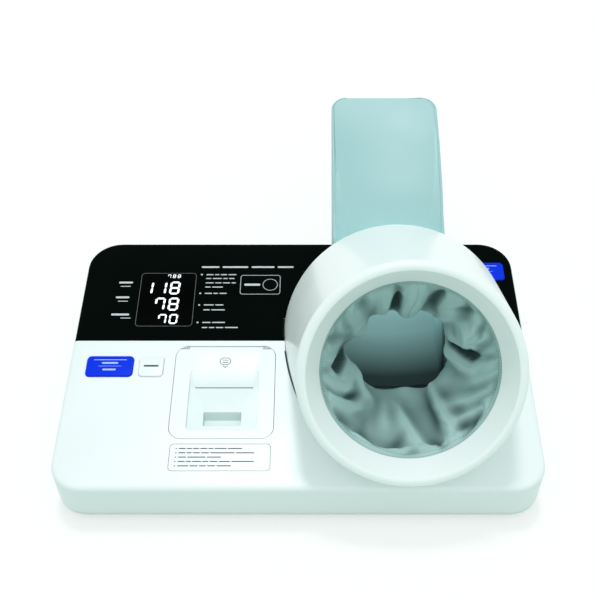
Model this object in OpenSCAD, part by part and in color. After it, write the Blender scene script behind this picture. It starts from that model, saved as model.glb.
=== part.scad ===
// Arm-in blood pressure monitor: a wedge console, a tilting cuff drum and a forearm rest.
// Millimetres, +Z up, front towards -Y. The origin is under the middle of the whole outline, on the table.

/* [Console] */
// From the console's left side to the start key
left_margin = 18.7; // [16:0.1:20]
// From the drum's widest place to the console's right side
right_margin = 14.5; // [13:0.5:17]
// Length of the sloping top face, front to back
top_len = 314.5; // [312:0.5:322]
// Height of the top face's front edge above the table
front_h = 51; // [50:1:56]
// Slope of the top face, in degrees
slope = 8.5; // [8:0.5:10]
// Radius of the two front corners
front_corner_r = 32; // [26:1:36]
// Radius of the two rear corners
rear_corner_r = 36; // [30:1:40]
// Rounding of the top edge
edge_r = 5; // [4:0.5:6]
// Rounding of the bottom edge
bottom_edge_r = 7; // [6:0.5:8]
// Wall of the case's sides
side_wall = 3; // [2.5:0.1:3.4]
// Thickness of the case's top
top_wall = 3.2; // [3:0.1:3.6]
// Height of the rubber feet
foot_h = 5; // [4:0.5:6]
// Radius of the rubber feet
foot_r = 10; // [8:0.5:12]
// Radius of a case screw's shank
screw_r = 1.5; // [1.5:0.1:2]

/* [Display] */
// Distance of the black panel's front edge from the top's front edge, along the slope
panel_from = 175; // [173:1:180]
// Thickness of the black panel
panel_t = 1.6; // [1.4:0.1:1.8]
// Width of the display window
window_w = 61; // [55:1:64]
// Height of the display window along the slope
window_l = 74; // [66:1:78]
// Middle of the window, from the console's left side
window_in = 93.5; // [91:0.5:96]
// Middle of the window, behind the panel's front edge
window_back = 56.5; // [54:0.5:60]

/* [Keys] */
// Width of the two blue keys
blue_key_w = 48.6; // [44:0.2:50]
// Depth of a key along the slope
key_l = 25.2; // [23:0.2:26]
// Width of the white key
white_key_w = 25.4; // [23:0.2:26]
// How far a key stands above the top face
key_proud = 1.6; // [1.3:0.1:2]
// Travel of a key
key_travel = 1; // [0.6:0.1:1.2]
// Gap round a key
key_gap = 0.35; // [0.3:0.05:0.5]
// Space between the blue and the white key
key_space = 6.2; // [5:0.1:8]

/* [Printer] */
// Space between the white key and the printer cover
cover_space = 12.1; // [10:0.1:14]
// Space between the printer cover and the drum's widest place
drum_space = 8.5; // [8:0.5:12]
// Width of the printer cover
cover_w = 104; // [100:1:106]
// Length of the printer cover along the slope
cover_l = 111.4; // [108:0.2:114]
// Corner radius of the printer cover
cover_r = 13; // [11:0.5:15]
// Thickness of the printer cover, and diameter of its hinge edge
cover_t = 3; // [2.8:0.1:3.2]
// Width of the dish in the cover
dish_w = 71; // [67:0.5:74]
// Depth of the dish
dish_d = 4.5; // [3.5:0.5:5]
// Width of the finger pocket
pocket_w = 38; // [34:0.5:40]
// Depth of the finger pocket under the dish's floor
pocket_d = 9; // [7:0.5:9.5]
// Radius of the cover's hinge pin
hinge_pin_r = 0.9; // [0.8:0.05:1]
// Widest opening of the cover, in degrees
cover_open = 80; // [60:1:85]
// Outer radius of the paper roll
paper_r = 17; // [14:0.5:18]
// Width of the paper roll
paper_w = 57.5; // [56:0.5:58]
// Radius of the paper roll's spindle
spindle_r = 6; // [5:0.5:7]
// Radius of the platen roller
platen_r = 5; // [4:0.5:5.5]

/* [Cuff drum] */
// Radius of the drum at its front rim
rim_r = 106.4; // [104:0.2:108]
// Radius of the drum at its rear edge
rear_r = 121; // [119:0.5:122]
// Length of the drum along its own axis
drum_len = 165; // [162:1:168]
// Radius of the arm opening
opening_r = 84.4; // [80:0.2:86]
// Distance of the arm opening behind the rim
opening_back = 14.3; // [12:0.1:16]
// Radius of the rim's round nose
nose_r = 6.4; // [5:0.2:7]
// Wall of the drum shell
shell_t = 3; // [2.5:0.1:3.5]
// Tilt of the drum's axis above the table, in degrees
drum_tilt = 33; // [32:0.5:34]
// How far the drum can tilt up from rest, in degrees
drum_lift = 7; // [4:0.5:7]
// Middle of the rim, behind the console's front edge
rim_y = 50; // [48:0.5:54]
// Middle of the rim, above the top's front edge
rim_up = 107; // [105:0.5:110]
// Distance of the tilt pivot behind the rim, along the drum's axis
pivot_back = 152; // [150:0.5:154]
// Distance of the tilt pivot below the drum's axis
pivot_drop = 11; // [10:0.5:13]
// Radius of the trunnion pins
trunnion_r = 4; // [3.5:0.1:4.5]
// Gap between the drum and the case
drum_gap = 2; // [1.6:0.1:2.4]
// Thickness of the cuff cloth
cloth_t = 2; // [1.6:0.1:2.4]
// Thickness of the air bladder
bladder_t = 3; // [2:0.2:3.4]

/* [Forearm rest] */
// Width of the forearm rest
rest_w = 121; // [116:1:124]
// Distance of the rest's middle left of the drum's middle
rest_aside = 8; // [6:0.5:10]
// Distance of the rest's tip behind the console's front edge
rest_tip_y = 430; // [420:1:440]
// Height of the rest's rim above the top's front edge, halfway up
rest_rim_up = 103; // [101:1:106]
// Slope of the rest's rim, in degrees
rest_slope = 21.9; // [20:0.1:23]
// Depth of the elbow cup under the rim's line
cup_depth = 95; // [93:1:97]
// How far the forearm trough is hollowed across
trough_sag = 8; // [5:0.5:9]
// Thickness of the rest's floor and walls
rest_t = 3; // [2.5:0.1:3.5]
// Radius of the rest's corners at its tip
rest_corner_r = 16; // [12:1:20]

/* [Hidden] */

$fn = 64;
touch = 0.01;
big = 1200;

// The console is as wide as what stands side by side on it
console_w = left_margin + blue_key_w + key_space + white_key_w + cover_space + cover_w + drum_space
    + 2 * rear_r + right_margin;
left = -console_w / 2;
right = console_w / 2;
start_key_x = left + left_margin + blue_key_w / 2;
clear_key_x = start_key_x + blue_key_w / 2 + key_space + white_key_w / 2;
cover_x = clear_key_x + white_key_w / 2 + cover_space + cover_w / 2;
drum_x = right - right_margin - rear_r;
rest_x = drum_x - rest_aside;
window_x = left + window_in;

// Where the drum turns, and the outline's middle
rim_z = front_h + rim_up;
pivot_y = rim_y + pivot_back * cos(drum_tilt);
pivot_z = rim_z - pivot_back * sin(drum_tilt) - pivot_drop;
front_reach = rim_y - (rim_r - nose_r) * sin(drum_tilt) - nose_r;
mid_y = (front_reach + rest_tip_y) / 2;

// Height of the top face above the table at distance y behind the front edge
function top_z(y) = front_h + y * tan(slope);
// Distance along the slope at distance y behind the front edge
function along(y) = y / cos(slope);
top_depth = top_len * cos(slope);
back_y = round(top_depth);
split_z = foot_h + bottom_edge_r + 1;
floor_t = 2.5;
floor_z = foot_h + floor_t;

module bench() {
    translate([0, -mid_y, 0]) children();
}
// Axes of the top face: x across, y along the slope, z square out of the face
module on_top(x = 0, t = 0, h = 0) {
    bench() translate([0, 0, front_h]) rotate([slope, 0, 0]) translate([x, t, h]) children();
}
// Axes of the drum: z runs back along its axis from the rim, -y is up
module in_drum() {
    bench() translate([drum_x, rim_y, rim_z]) rotate([-(90 + drum_tilt), 0, 0]) children();
}
// Axes of the tilt pivot: z runs along the pivot, to the right
module at_pivot() {
    bench() translate([drum_x, pivot_y, pivot_z]) rotate([0, 90, 0]) children();
}
module rounded_plate(w, l, r, t) {
    linear_extrude(t) union() {
        square([w - 2 * r, l], center = true);
        square([w, l - 2 * r], center = true);
        for (x = [-1, 1], y = [-1, 1]) translate([x * (w / 2 - r), y * (l / 2 - r)]) circle(r);
    }
}
module tube(outer, inner, h) {
    difference() {
        cylinder(r = outer, h = h);
        translate([0, 0, -1]) cylinder(r = inner, h = h + 2);
    }
}

// ---------- console ----------

module round_corner(x, r, edge, reach) {
    for (side = [-1, 1])
        translate([side * (console_w / 2 - x), 0, 0])
            rotate_extrude($fn = 48) translate([reach - edge, 0]) circle(edge, $fn = 20);
}
// The wedge with round corners and edges, drawn in by inset, its bottom at height low
module console_block(inset, down, edge, low, low_edge) {
    hull() {
        on_top(0, front_corner_r, -down - edge)
            round_corner(front_corner_r, front_corner_r, edge, front_corner_r - inset);
        on_top(0, top_len - rear_corner_r, -down - edge)
            round_corner(rear_corner_r, rear_corner_r, edge, rear_corner_r - inset);
        bench() translate([0, front_corner_r + 1, low + low_edge])
            round_corner(front_corner_r + 1, front_corner_r, low_edge, front_corner_r - inset);
        bench() translate([0, top_depth - rear_corner_r, low + low_edge])
            round_corner(rear_corner_r + 1, rear_corner_r, low_edge, rear_corner_r - inset);
    }
}
module console_outside() {
    console_block(0, 0, edge_r, foot_h, bottom_edge_r);
}
inner_edge = 2;
module console_inside(low) {
    console_block(side_wall, top_wall, inner_edge, low, inner_edge);
}

// The drum's cone meets the top face in an oval: at distance l behind the rim it is
// cut at depth dip(l) below the drum's axis, and so cut_half(l) from its middle
dip_scale = cos(drum_tilt) - sin(drum_tilt) * tan(slope);
dip_rate = (sin(drum_tilt) + cos(drum_tilt) * tan(slope)) / dip_scale;
dip_rim = (rim_up - rim_y * tan(slope)) / dip_scale;
cone_rate = (rear_r - rim_r) / drum_len;
function cone_r(l) = rim_r + cone_rate * l;
function dip(l) = dip_rim - dip_rate * l;
function cut_half(l, grow) = sqrt(max(0, pow(cone_r(l) + grow, 2) - pow(dip(l), 2)));
function cut_y(l) = rim_y + l * cos(drum_tilt) - dip(l) * sin(drum_tilt);
function cut_from(grow) = (dip_rim - rim_r - grow) / (dip_rate + cone_rate);
cut_to = (pivot_y - rim_y + dip_rim * sin(drum_tilt)) / (cos(drum_tilt) + dip_rate * sin(drum_tilt));
oval_steps = 24;
// Distances behind the rim, closer together where the oval bends
function cut_places(grow, to) = [for (i = [0:oval_steps])
    cut_from(grow) + (to - cut_from(grow)) * (1 - cos(90 * i / oval_steps))];
module oval(grow, to) {
    half = [for (l = cut_places(grow, to)) [cut_half(l, grow), along(cut_y(l))]];
    polygon(concat(half, [for (i = [len(half) - 1:-1:1]) [-half[i].x, half[i].y]]));
}
side_x = cone_r(pivot_back + pivot_drop * sin(drum_tilt));
well_side = 0.8;
well_back = 27;
slot_end = 138;
module well_outline() {
    oval(drum_gap, slot_end);
    oval(well_side, cut_to);
    translate([-rear_r - well_side, along(pivot_y) - touch]) square([2 * (rear_r + well_side), well_back]);
}
rest_hole_from = 10;
rest_hole_gap = 0.5;
rest_seat_y = 246;
module rest_outline() {
    translate([rest_x - rest_w / 2 - rest_hole_gap, along(pivot_y) + rest_hole_from])
        square([rest_w + 2 * rest_hole_gap, along(rest_seat_y) - along(pivot_y) - rest_hole_from]);
}
module top_openings(from_h, deep) {
    on_top(drum_x, 0, from_h) linear_extrude(deep) well_outline();
    on_top(0, 0, from_h) linear_extrude(deep) rest_outline();
}

// Bearings of the drum, under the top face
eye_r = 8;
bracket_in = side_x + 2;
bracket_t = 5.5;
bracket_foot = 28;
bracket_neck = 12;

// Screw places: x, and y behind the front edge
screw_in = 26;
screw_places = [[left + screw_in, 28], [cover_x + 41, 22], [right - screw_in, 28],
    [left + screw_in, back_y - 29], [cover_x + 87, back_y - 17], [right - 40, back_y - 17]];
post_r = 5;
boss_r = 4.5;
post_top = 30;
screw_head_r = 3.4;
screw_head_h = 2.5;
screw_head_z = 18;
screw_len = 22;

// Places of the top's features, along the slope
cover_mid = 112.1;
key_mid = 141.8;
rear_key_in = 11;
rear_key_x = right - rear_key_in - blue_key_w / 2;
rear_key_t = 270.4;
notice_w = 99;
notice_l = 30;
notice_x = cover_x + 0.5;
notice_t = 35.5;
notice_thick = 0.6;
window_t = 1;
window_lip = 2;
window_mid = panel_from + window_back;
key_r = 4.5;

// Rear wall fittings: x and height
inlet_x = left + 195;
switch_x = left + 232;
port_x = left + 120;
speaker_x = left + 55;
rear_fit_z = 45;
inlet_w = 27;
inlet_h = 19.5;
switch_w = 19;
switch_h = 12.8;
port_w = 13;
port_h = 12;
speaker_r = 22;
rear_wall_y = top_depth + edge_r * sin(slope) / 1.8;

module rear_cut(x, w, h) {
    bench() translate([x - w / 2, rear_wall_y - 12, rear_fit_z - h / 2]) cube([w, 24, h]);
}
module top_case() {
    color("white") difference() {
        union() {
            difference() {
                console_outside();
                console_inside(foot_h - 10);
            }
            for (p = screw_places)
                bench() translate([p.x, p.y, post_top])
                    cylinder(r = boss_r, h = top_z(p.y) - post_top - panel_t - 1);
        }
        bench() translate([-big / 2, -big / 2, split_z - big]) cube([big, big, big]);
        panel_slab(panel_t, big);
        top_openings(-20, 40);
        // printer, keys, window, notice plate
        on_top(cover_x, cover_mid, -20) rounded_plate(cover_w + 1, cover_l + 1, cover_r + 0.5, 40);
        pin_bore(hinge_pin_r);
        key_hole(start_key_x, key_mid, blue_key_w);
        key_hole(clear_key_x, key_mid, white_key_w);
        key_hole(rear_key_x, rear_key_t, blue_key_w);
        on_top(window_x, window_mid, -20)
            rounded_plate(window_w - 2 * window_lip, window_l - 2 * window_lip, 2, 40);
        on_top(notice_x, notice_t, -notice_thick) rounded_plate(notice_w, notice_l, 4, 10);
        // rear wall
        rear_cut(inlet_x, inlet_w, inlet_h);
        rear_cut(switch_x, switch_w, switch_h);
        rear_cut(port_x, port_w, port_h);
        for (i = [-3:3]) rear_cut_slot(i);
        for (p = screw_places)
            bench() translate([p.x, p.y, post_top - 1]) cylinder(r = screw_r, h = 14);
    }
}
slot_step = 5;
module rear_cut_slot(i) {
    bench() translate([speaker_x + i * slot_step - 1, rear_wall_y - 12, rear_fit_z - 12]) cube([2, 24, 24]);
}
module key_hole(x, t, w) {
    on_top(x, t, -20) rounded_plate(w + 2 * key_gap, key_l + 2 * key_gap, key_r + key_gap, 40);
}
hinge_t = cover_mid + cover_l / 2 - cover_t / 2;
pin_reach = cover_w / 2 + 1;
barrel_w = cover_w - 2 * cover_r - 1;
module pin_bore(r) {
    on_top(cover_x - pin_reach, hinge_t, -cover_t / 2) rotate([0, 90, 0]) cylinder(r = r, h = 2 * pin_reach);
}
// The layer of the top face behind the panel's front edge, thick deep
module panel_slab(thick, high) {
    difference() {
        on_top(-big / 2, panel_from, -thick) cube([big, big, high]);
        top_openings(-30, 60);
    }
}

module bottom_case() {
    color("gainsboro") difference() {
        union() {
            difference() {
                intersection() {
                    console_outside();
                    bench() translate([-big / 2, -big / 2, 0]) cube([big, big, split_z]);
                }
                console_inside(floor_z);
            }
            for (p = screw_places)
                bench() translate([p.x, p.y, foot_h + 1]) cylinder(r = post_r, h = post_top - foot_h - 1);
            for (p = board_posts)
                bench() translate([p.x, p.y, floor_z - 1]) cylinder(r = 3, h = board_z - floor_z + 1);
            for (y = [valve_y - 6, valve_y + 6])
                bench() translate([valve_x - 12, y - 1, floor_z - 1]) cube([24, 2, valve_z - floor_z + 1]);
            bench() translate([motor_block_x - 6, motor_block_y - 6, floor_z - 1])
                cube([12, 12, motor_block_z - floor_z + 1]);
            for (x = rest_post_x)
                bench() translate([x, rest_post_y, floor_z - 1]) cylinder(r = rest_post_r, h = rest_post_z - floor_z + 1);
            bench() translate([speaker_x - speaker_r - 2, rear_wall_y - 20, floor_z - 1])
                cube([2 * speaker_r + 4, 12, rear_fit_z - speaker_r - floor_z + 1.1]);
        }
        for (p = screw_places) {
            bench() translate([p.x, p.y, 0]) cylinder(r = screw_head_r + 0.4, h = screw_head_z);
            bench() translate([p.x, p.y, 0]) cylinder(r = screw_r + 0.3, h = post_top + 1);
        }
    }
}
foot_in = 40;
foot_places = [for (y = [34, back_y - 35], x = [left + foot_in, right - foot_in]) [x, y]];
module rubber_feet() {
    color("dimgray") for (p = foot_places)
        bench() translate([p.x, p.y, 0]) union() {
            cylinder(r = foot_r - 1, h = foot_h);
            translate([0, 0, 1]) cylinder(r = foot_r, h = foot_h - 1);
        }
}
module case_screws() {
    color("silver") for (p = screw_places)
        bench() translate([p.x, p.y, screw_head_z - screw_head_h]) difference() {
            union() {
                cylinder(r = screw_head_r, h = screw_head_h);
                cylinder(r = screw_r, h = screw_len);
            }
            for (a = [0, 90]) rotate(a) translate([-2, -0.5, -1]) cube([4, 1, 2.2]);
        }
}

// ---------- display ----------

module display_panel() {
    color([0.05, 0.08, 0.07]) difference() {
        intersection() {
            console_outside();
            panel_slab(panel_t, 30);
        }
        on_top(window_x, window_mid, -window_t) rounded_plate(window_w, window_l, 4, 20);
        on_top(window_x, window_mid, -20)
            rounded_plate(window_w - 2 * window_lip, window_l - 2 * window_lip, 2, 40);
        key_hole(rear_key_x, rear_key_t, blue_key_w);
    }
}
module display_window() {
    color([0.1, 0.1, 0.12]) on_top(window_x, window_mid, -window_t)
        rounded_plate(window_w, window_l, 4, window_t);
}
module_t = 8;
module display_module() {
    color("darkslategray") union() {
        on_top(window_x, window_mid, -top_wall - module_t)
            rounded_plate(window_w, window_l, 2, module_t);
        on_top(window_x, window_mid, -top_wall - touch)
            rounded_plate(window_w - 2 * window_lip - 1, window_l - 2 * window_lip - 1, 1.5,
                top_wall - window_t + touch);
    }
}

// ---------- boards and supplies ----------

board_z = 16;
board_t = 1.6;
board_x = left + 34;
board_y = back_y - 127;
board_w = 140;
board_l = 88;
supply_x = left + 174;
supply_y = back_y - 85;
supply_w = 82;
supply_l = 60;
board_posts = concat(
    [for (x = [6, board_w - 6], y = [6, board_l - 6]) [board_x + x, board_y + y]],
    [for (x = [5, supply_w - 12], y = [5, supply_l - 5]) [supply_x + x, supply_y + y]]);
module main_board() {
    color("seagreen") bench() translate([board_x, board_y, board_z]) union() {
        cube([board_w, board_l, board_t]);
        translate([60, 40, board_t]) cube([20, 20, 2]);
        translate([96, 52, board_t]) cube([14, 10, 2]);
        translate([20, 60, board_t]) cube([26, 8, 9]);
        for (x = [100, 112]) translate([x, 20, board_t]) cylinder(r = 4, h = 11);
    }
}
module pressure_sensor() {
    color("gray") bench() translate([board_x + 30, board_y + 26, board_z + board_t]) union() {
        translate([-7, -7, 0]) cube([14, 14, 7]);
        translate([0, 0, 7]) tube(2.2, 0.9, 7);
    }
}
module power_supply() {
    color("peru") bench() translate([supply_x, supply_y, board_z]) union() {
        cube([supply_w, supply_l, board_t]);
        translate([8, 10, board_t]) cube([30, 26, 20]);
        translate([50, 20, board_t]) cylinder(r = 9, h = 22);
        translate([64, 40, board_t]) cube([12, 10, 8]);
    }
}
inlet_deep = 22;
pin_places = [[-7, 0], [7, 0], [0, 4]];
module mains_inlet() {
    color("dimgray") bench() translate([inlet_x, rear_wall_y, rear_fit_z]) rotate([90, 0, 0]) union() {
        difference() {
            union() {
                translate([0, 0, -2]) rounded_plate(inlet_w + 6, inlet_h + 6, 2, 2);
                translate([0, 0, -touch]) rounded_plate(inlet_w - 0.4, inlet_h - 0.4, 2, inlet_deep);
            }
            translate([0, 0, -5]) rounded_plate(24, 16.5, 2, 21);
        }
        for (p = pin_places) translate([p.x - 1, p.y - 2, 1]) cube([2, 4, 16]);
    }
}
rocker_r = 2;
module switch_frame() {
    color("black") bench() translate([switch_x, rear_wall_y, rear_fit_z]) rotate([90, 0, 0]) difference() {
        union() {
            translate([0, 0, -2]) rounded_plate(switch_w + 3, switch_h + 3, 1.5, 2);
            translate([0, 0, -touch]) rounded_plate(switch_w - 0.4, switch_h - 0.4, 1, 16);
        }
        translate([0, 0, -5]) rounded_plate(rocker_w + 1, rocker_h + 0.8, 0.5, 15);
        translate([0, -20, rocker_axis]) rotate([-90, 0, 0]) cylinder(r = rocker_r + 0.05, h = 40);
    }
}
rocker_w = 14;
rocker_h = 8.6;
rocker_axis = 2.5;
rocker_proud = 6;
rocker_nip = 1.6;
module mains_rocker() {
    color("black") bench() translate([switch_x, rear_wall_y, rear_fit_z]) rotate([90, 0, 0])
        translate([0, 0, rocker_axis]) union() {
            translate([0, -rocker_h / 2, 0]) rotate([-90, 0, 0]) linear_extrude(rocker_h)
                polygon([[-rocker_w / 2 + rocker_nip, rocker_proud + 1.2], [0, rocker_proud - 0.6],
                    [rocker_w / 2 - 0.6, rocker_proud - 0.8], [rocker_w / 2 - 2, -1.5],
                    [-rocker_w / 2 + 2, -1.5]]);
            translate([0, -switch_h / 2 + 0.4, 0]) rotate([-90, 0, 0])
                cylinder(r = rocker_r, h = switch_h - 0.8);
        }
}
module data_port() {
    color("silver") bench() translate([port_x, rear_wall_y, rear_fit_z]) rotate([90, 0, 0]) difference() {
        translate([0, 0, -0.6]) rounded_plate(port_w - 0.4, port_h - 0.4, 1, 17);
        translate([0, 0, -2]) rounded_plate(port_w - 3, port_h - 3, 0.8, 12);
    }
}
speaker_t = 9;
module speaker() {
    color("darkgray") bench() translate([speaker_x, rear_wall_y - side_wall - 0.25, rear_fit_z])
        rotate([90, 0, 0]) union() {
            difference() {
                cylinder(r = speaker_r, h = 3);
                translate([0, 0, -1]) cylinder(r1 = speaker_r - 2, r2 = speaker_r - 12, h = 3.5);
            }
            translate([0, 0, 3 - touch]) cylinder(r = 10, h = speaker_t - 3);
        }
}

// ---------- air parts ----------

pump_x = left + 55;
pump_y = 72;
pump_r = 14;
pump_len = 58;
pump_z = floor_z + 2.5 + pump_r;
module air_pump() {
    color("lightsteelblue") bench() translate([pump_x, pump_y - pump_len / 2, pump_z]) rotate([-90, 0, 0]) union() {
        cylinder(r = pump_r, h = pump_len - 16);
        translate([0, 0, pump_len - 16 - touch]) cylinder(r = pump_r - 1, h = 16);
        translate([0, 0, pump_len - touch]) tube(2.5, 1, pump_gap - 7);
        translate([0, 0, -4]) cylinder(r = 4, h = 5);
    }
}
module pump_mounts() {
    color("dimgray") for (y = [pump_y - 20, pump_y + 5]) bench() difference() {
        translate([pump_x - 18, y, floor_z]) cube([36, 9, pump_z - floor_z]);
        translate([pump_x, y - 1, pump_z]) rotate([-90, 0, 0]) cylinder(r = pump_r, h = 11);
    }
}
valve_x = pump_x;
valve_y = 128;
pump_gap = valve_y - 11 - pump_y - pump_len / 2;
valve_z = 14;
hose_r = 3;
hose_bend = 12;
hose_z = valve_z + 14;
module air_valve() {
    color("lightgray") bench() translate([valve_x, valve_y, valve_z]) union() {
        translate([-9, -11, 0]) cube([18, 22, 22]);
        translate([0, 11 - touch, hose_z - valve_z]) rotate([-90, 0, 0]) cylinder(r = hose_r - 1.2, h = 8);
        translate([0, -11 + touch, pump_z - valve_z]) rotate([90, 0, 0]) cylinder(r = 2.5, h = 7);
    }
}
module quarter_bend() {
    rotate_extrude(angle = 90) translate([hose_bend, 0]) circle(hose_r);
}
// From the valve back, across to the left pivot, up and into it
hose_y = pivot_y;
hose_end_x = drum_x - bracket_in - bracket_t - 0.3;
hose_up_x = hose_end_x - hose_bend - 4;
// A straight stretch of hose, a hair longer at both ends
module hose_run(len) {
    translate([0, 0, -touch]) cylinder(r = hose_r, h = len + 2 * touch);
}
module air_hose() {
    from_y = valve_y + 11 + 0.3;
    color("ivory") bench() difference() {
        union() {
            translate([valve_x, from_y, hose_z]) rotate([-90, 0, 0]) hose_run(hose_y - hose_bend - from_y);
            translate([valve_x + hose_bend, hose_y - hose_bend, hose_z]) rotate([0, 0, 90]) quarter_bend();
            translate([valve_x + hose_bend, hose_y, hose_z]) rotate([0, 90, 0])
                hose_run(hose_up_x - valve_x - 2 * hose_bend);
            translate([hose_up_x - hose_bend, hose_y, hose_z + hose_bend]) rotate([90, 0, 0])
                rotate([0, 0, -90]) quarter_bend();
            translate([hose_up_x, hose_y, hose_z + hose_bend]) hose_run(pivot_z - hose_z - 2 * hose_bend);
            translate([hose_up_x + hose_bend, hose_y, pivot_z - hose_bend]) rotate([90, 0, 0])
                rotate([0, 0, 90]) quarter_bend();
            translate([hose_up_x + hose_bend, hose_y, pivot_z]) rotate([0, 90, 0])
                hose_run(hose_end_x - hose_up_x - hose_bend);
        }
        translate([valve_x, from_y - 1, hose_z]) rotate([-90, 0, 0]) cylinder(r = hose_r - 1.2, h = 10);
    }
}

// ---------- printer ----------

frame_w = 94;
frame_from = 62;
frame_to = 134;
frame_deep = 54;
frame_wall = 2;
leg_r = 4;
leg_h = 24;
roll_t = 88;
roll_h = -34;
platen_t = 112;
platen_h = -17;
platen_ear_r = 4;
module printer_frame() {
    color("whitesmoke") difference() {
        union() {
            on_top(cover_x - frame_w / 2, frame_from, -frame_deep)
                cube([frame_w, frame_to - frame_from, frame_deep - top_wall]);
            for (side = [-1, 1], y = [frame_from + 8, frame_to - 30])
                bench() translate([cover_x + side * (frame_w / 2 + 2), y, floor_z])
                    cylinder(r = leg_r, h = leg_h);
        }
        difference() {
            on_top(cover_x - frame_w / 2 + frame_wall, frame_from + frame_wall, -frame_deep + frame_wall)
                cube([frame_w - 2 * frame_wall, frame_to - frame_from - 2 * frame_wall, frame_deep]);
            // ledge that carries the print head
            on_top(cover_x - frame_w / 2, head_t + head_thick, head_h - 1.5)
                cube([frame_w, frame_to - head_t, 6]);
        }
        // open slots for the spindle's ends
        on_top(cover_x, roll_t, roll_h) rotate([0, 90, 0]) cylinder(r = spindle_r - 2, h = big, center = true);
        on_top(cover_x - big / 2, roll_t - spindle_r + 2, roll_h) cube([big, 2 * spindle_r - 4, big]);
        bench() translate([-big / 2, -big / 2, -big]) cube([big, big, big + floor_z]);
        on_top(cover_x, cover_mid, -top_wall - 2) rounded_plate(cover_w - 4, cover_l - 4, cover_r, 20);
        on_top(cover_x - big / 2, platen_t - 8, platen_h - 8) cube([big / 2, 16, 40]);
    }
}
head_t = platen_t + platen_r + 0.3;
head_thick = 4;
head_h = platen_h - 5;
module print_head() {
    color("darkslategray") on_top(cover_x - paper_w / 2 - 2, head_t, head_h) union() {
        cube([paper_w + 4, head_thick, 10]);
        translate([6, head_thick - touch, 5]) cube([paper_w - 8, 5, 5]);
    }
}
motor_block_x = cover_x - 64;
motor_block_y = 118;
motor_block_z = 22;
printer_motor_r = 9;
module printer_motor() {
    color("silver") bench() translate([cover_x - frame_w / 2 - 0.3 - 18, motor_block_y,
        motor_block_z + printer_motor_r]) rotate([0, 90, 0]) union() {
            cylinder(r = printer_motor_r, h = 16);
            cylinder(r = 1.2, h = 18);
        }
}
module paper_spindle() {
    color("lightgray") on_top(cover_x - frame_w / 2 - 1, roll_t, roll_h) rotate([0, 90, 0]) union() {
        translate([0, 0, 0]) cylinder(r = spindle_r - 2 - 0.05, h = frame_w + 2);
        translate([0, 0, (frame_w + 2 - paper_w) / 2 - 4]) cylinder(r = spindle_r, h = paper_w + 8);
        translate([0, 0, (frame_w + 2 - paper_w) / 2 - 6]) cylinder(r = spindle_r + 3, h = 2);
    }
}
module paper_roll() {
    color("white") on_top(cover_x - paper_w / 2, roll_t, roll_h) rotate([0, 90, 0])
        tube(paper_r, spindle_r + 0.08, paper_w);
}
module cover_pin() {
    color("silver") pin_bore(hinge_pin_r);
}
// Side view of the dish in the cover: along the slope, and square to the face
dish_front = 66;
dish_slot = 118;
dish_rear = 137.5;
dish_corner_r = 5;
paper_slot = 1.2;
pocket_front = 73.4;
pocket_rear = 89.2;
module dish_side(grow) {
    polygon([[dish_front - grow, 5], [dish_front - grow, -dish_d - grow],
        [dish_slot + paper_slot, -dish_d - grow], [dish_rear + grow, -grow], [dish_rear + grow, 5]]);
}
module pocket_side(grow) {
    polygon([[pocket_front - grow, 0], [pocket_front - grow, -dish_d - pocket_d / 2],
        [pocket_front + 3 - grow, -dish_d - pocket_d - grow],
        [pocket_rear - 4 + grow, -dish_d - pocket_d - grow], [pocket_rear + grow, -dish_d], [pocket_rear + grow, 0]]);
}
// Pulls a side view in y and z out along x
module across(x, w) {
    on_top(x - w / 2, 0, 0) rotate([90, 0, 90]) linear_extrude(w) children();
}
module dish(grow) {
    intersection() {
        across(cover_x, dish_w + 2 * grow) dish_side(grow);
        on_top(cover_x, (dish_front + dish_rear) / 2, -30)
            rounded_plate(dish_w + 2 * grow, dish_rear - dish_front + 2 * grow, dish_corner_r + grow, 60);
    }
}
cover_skin = 1.8;
rebate = 2.2;
rebate_down = 0.8;
module printer_cover() {
    color("white") difference() {
        union() {
            difference() {
                on_top(cover_x, cover_mid, -cover_t) rounded_plate(cover_w, cover_l, cover_r, cover_t);
                on_top(cover_x - cover_w, hinge_t, -cover_t - 1) cube([2 * cover_w, 20, cover_t + 2]);
                // rebate that lets the rear corners swing clear of the case
                for (side = [-1, 1])
                    on_top(cover_x + (side > 0 ? barrel_w / 2 : -cover_w), hinge_t - rebate, -cover_t / 2 - rebate_down)
                        cube([cover_w - (side > 0 ? 0 : barrel_w / 2), rebate + 1, cover_t]);
            }
            on_top(cover_x - barrel_w / 2, hinge_t, -cover_t / 2) rotate([0, 90, 0])
                cylinder(r = cover_t / 2, h = barrel_w);
            difference() {
                union() {
                    dish(cover_skin);
                    across(cover_x, pocket_w + 2 * cover_skin) pocket_side(cover_skin);
                }
                on_top(-big / 2, -big / 2, -touch) cube([big, big, big]);
            }
            for (side = [-1, 1])
                on_top(cover_x + side * (paper_w / 2 + 5) - 1.5, platen_t - 4, platen_h - 1) union() {
                    cube([3, 8, -platen_h - cover_t + 2]);
                    translate([0, 4, 1]) rotate([0, 90, 0]) cylinder(r = platen_ear_r, h = 3);
                }
        }
        dish(0);
        across(cover_x, pocket_w) pocket_side(0);
        on_top(cover_x - paper_w / 2 - 1, dish_slot, -20) cube([paper_w + 2, paper_slot, 20]);
        pin_bore(hinge_pin_r + 0.05);
        on_top(cover_x - big / 2, platen_t, platen_h) rotate([0, 90, 0]) cylinder(r = 1.55, h = big);
    }
}
module platen_roller() {
    color("dimgray") on_top(cover_x, platen_t, platen_h) rotate([0, 90, 0]) union() {
        translate([0, 0, -paper_w / 2 - 1]) cylinder(r = platen_r, h = paper_w + 2);
        translate([0, 0, -paper_w / 2 - 7.5]) cylinder(r = 1.5, h = paper_w + 15);
    }
}

// ---------- keys ----------

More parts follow.
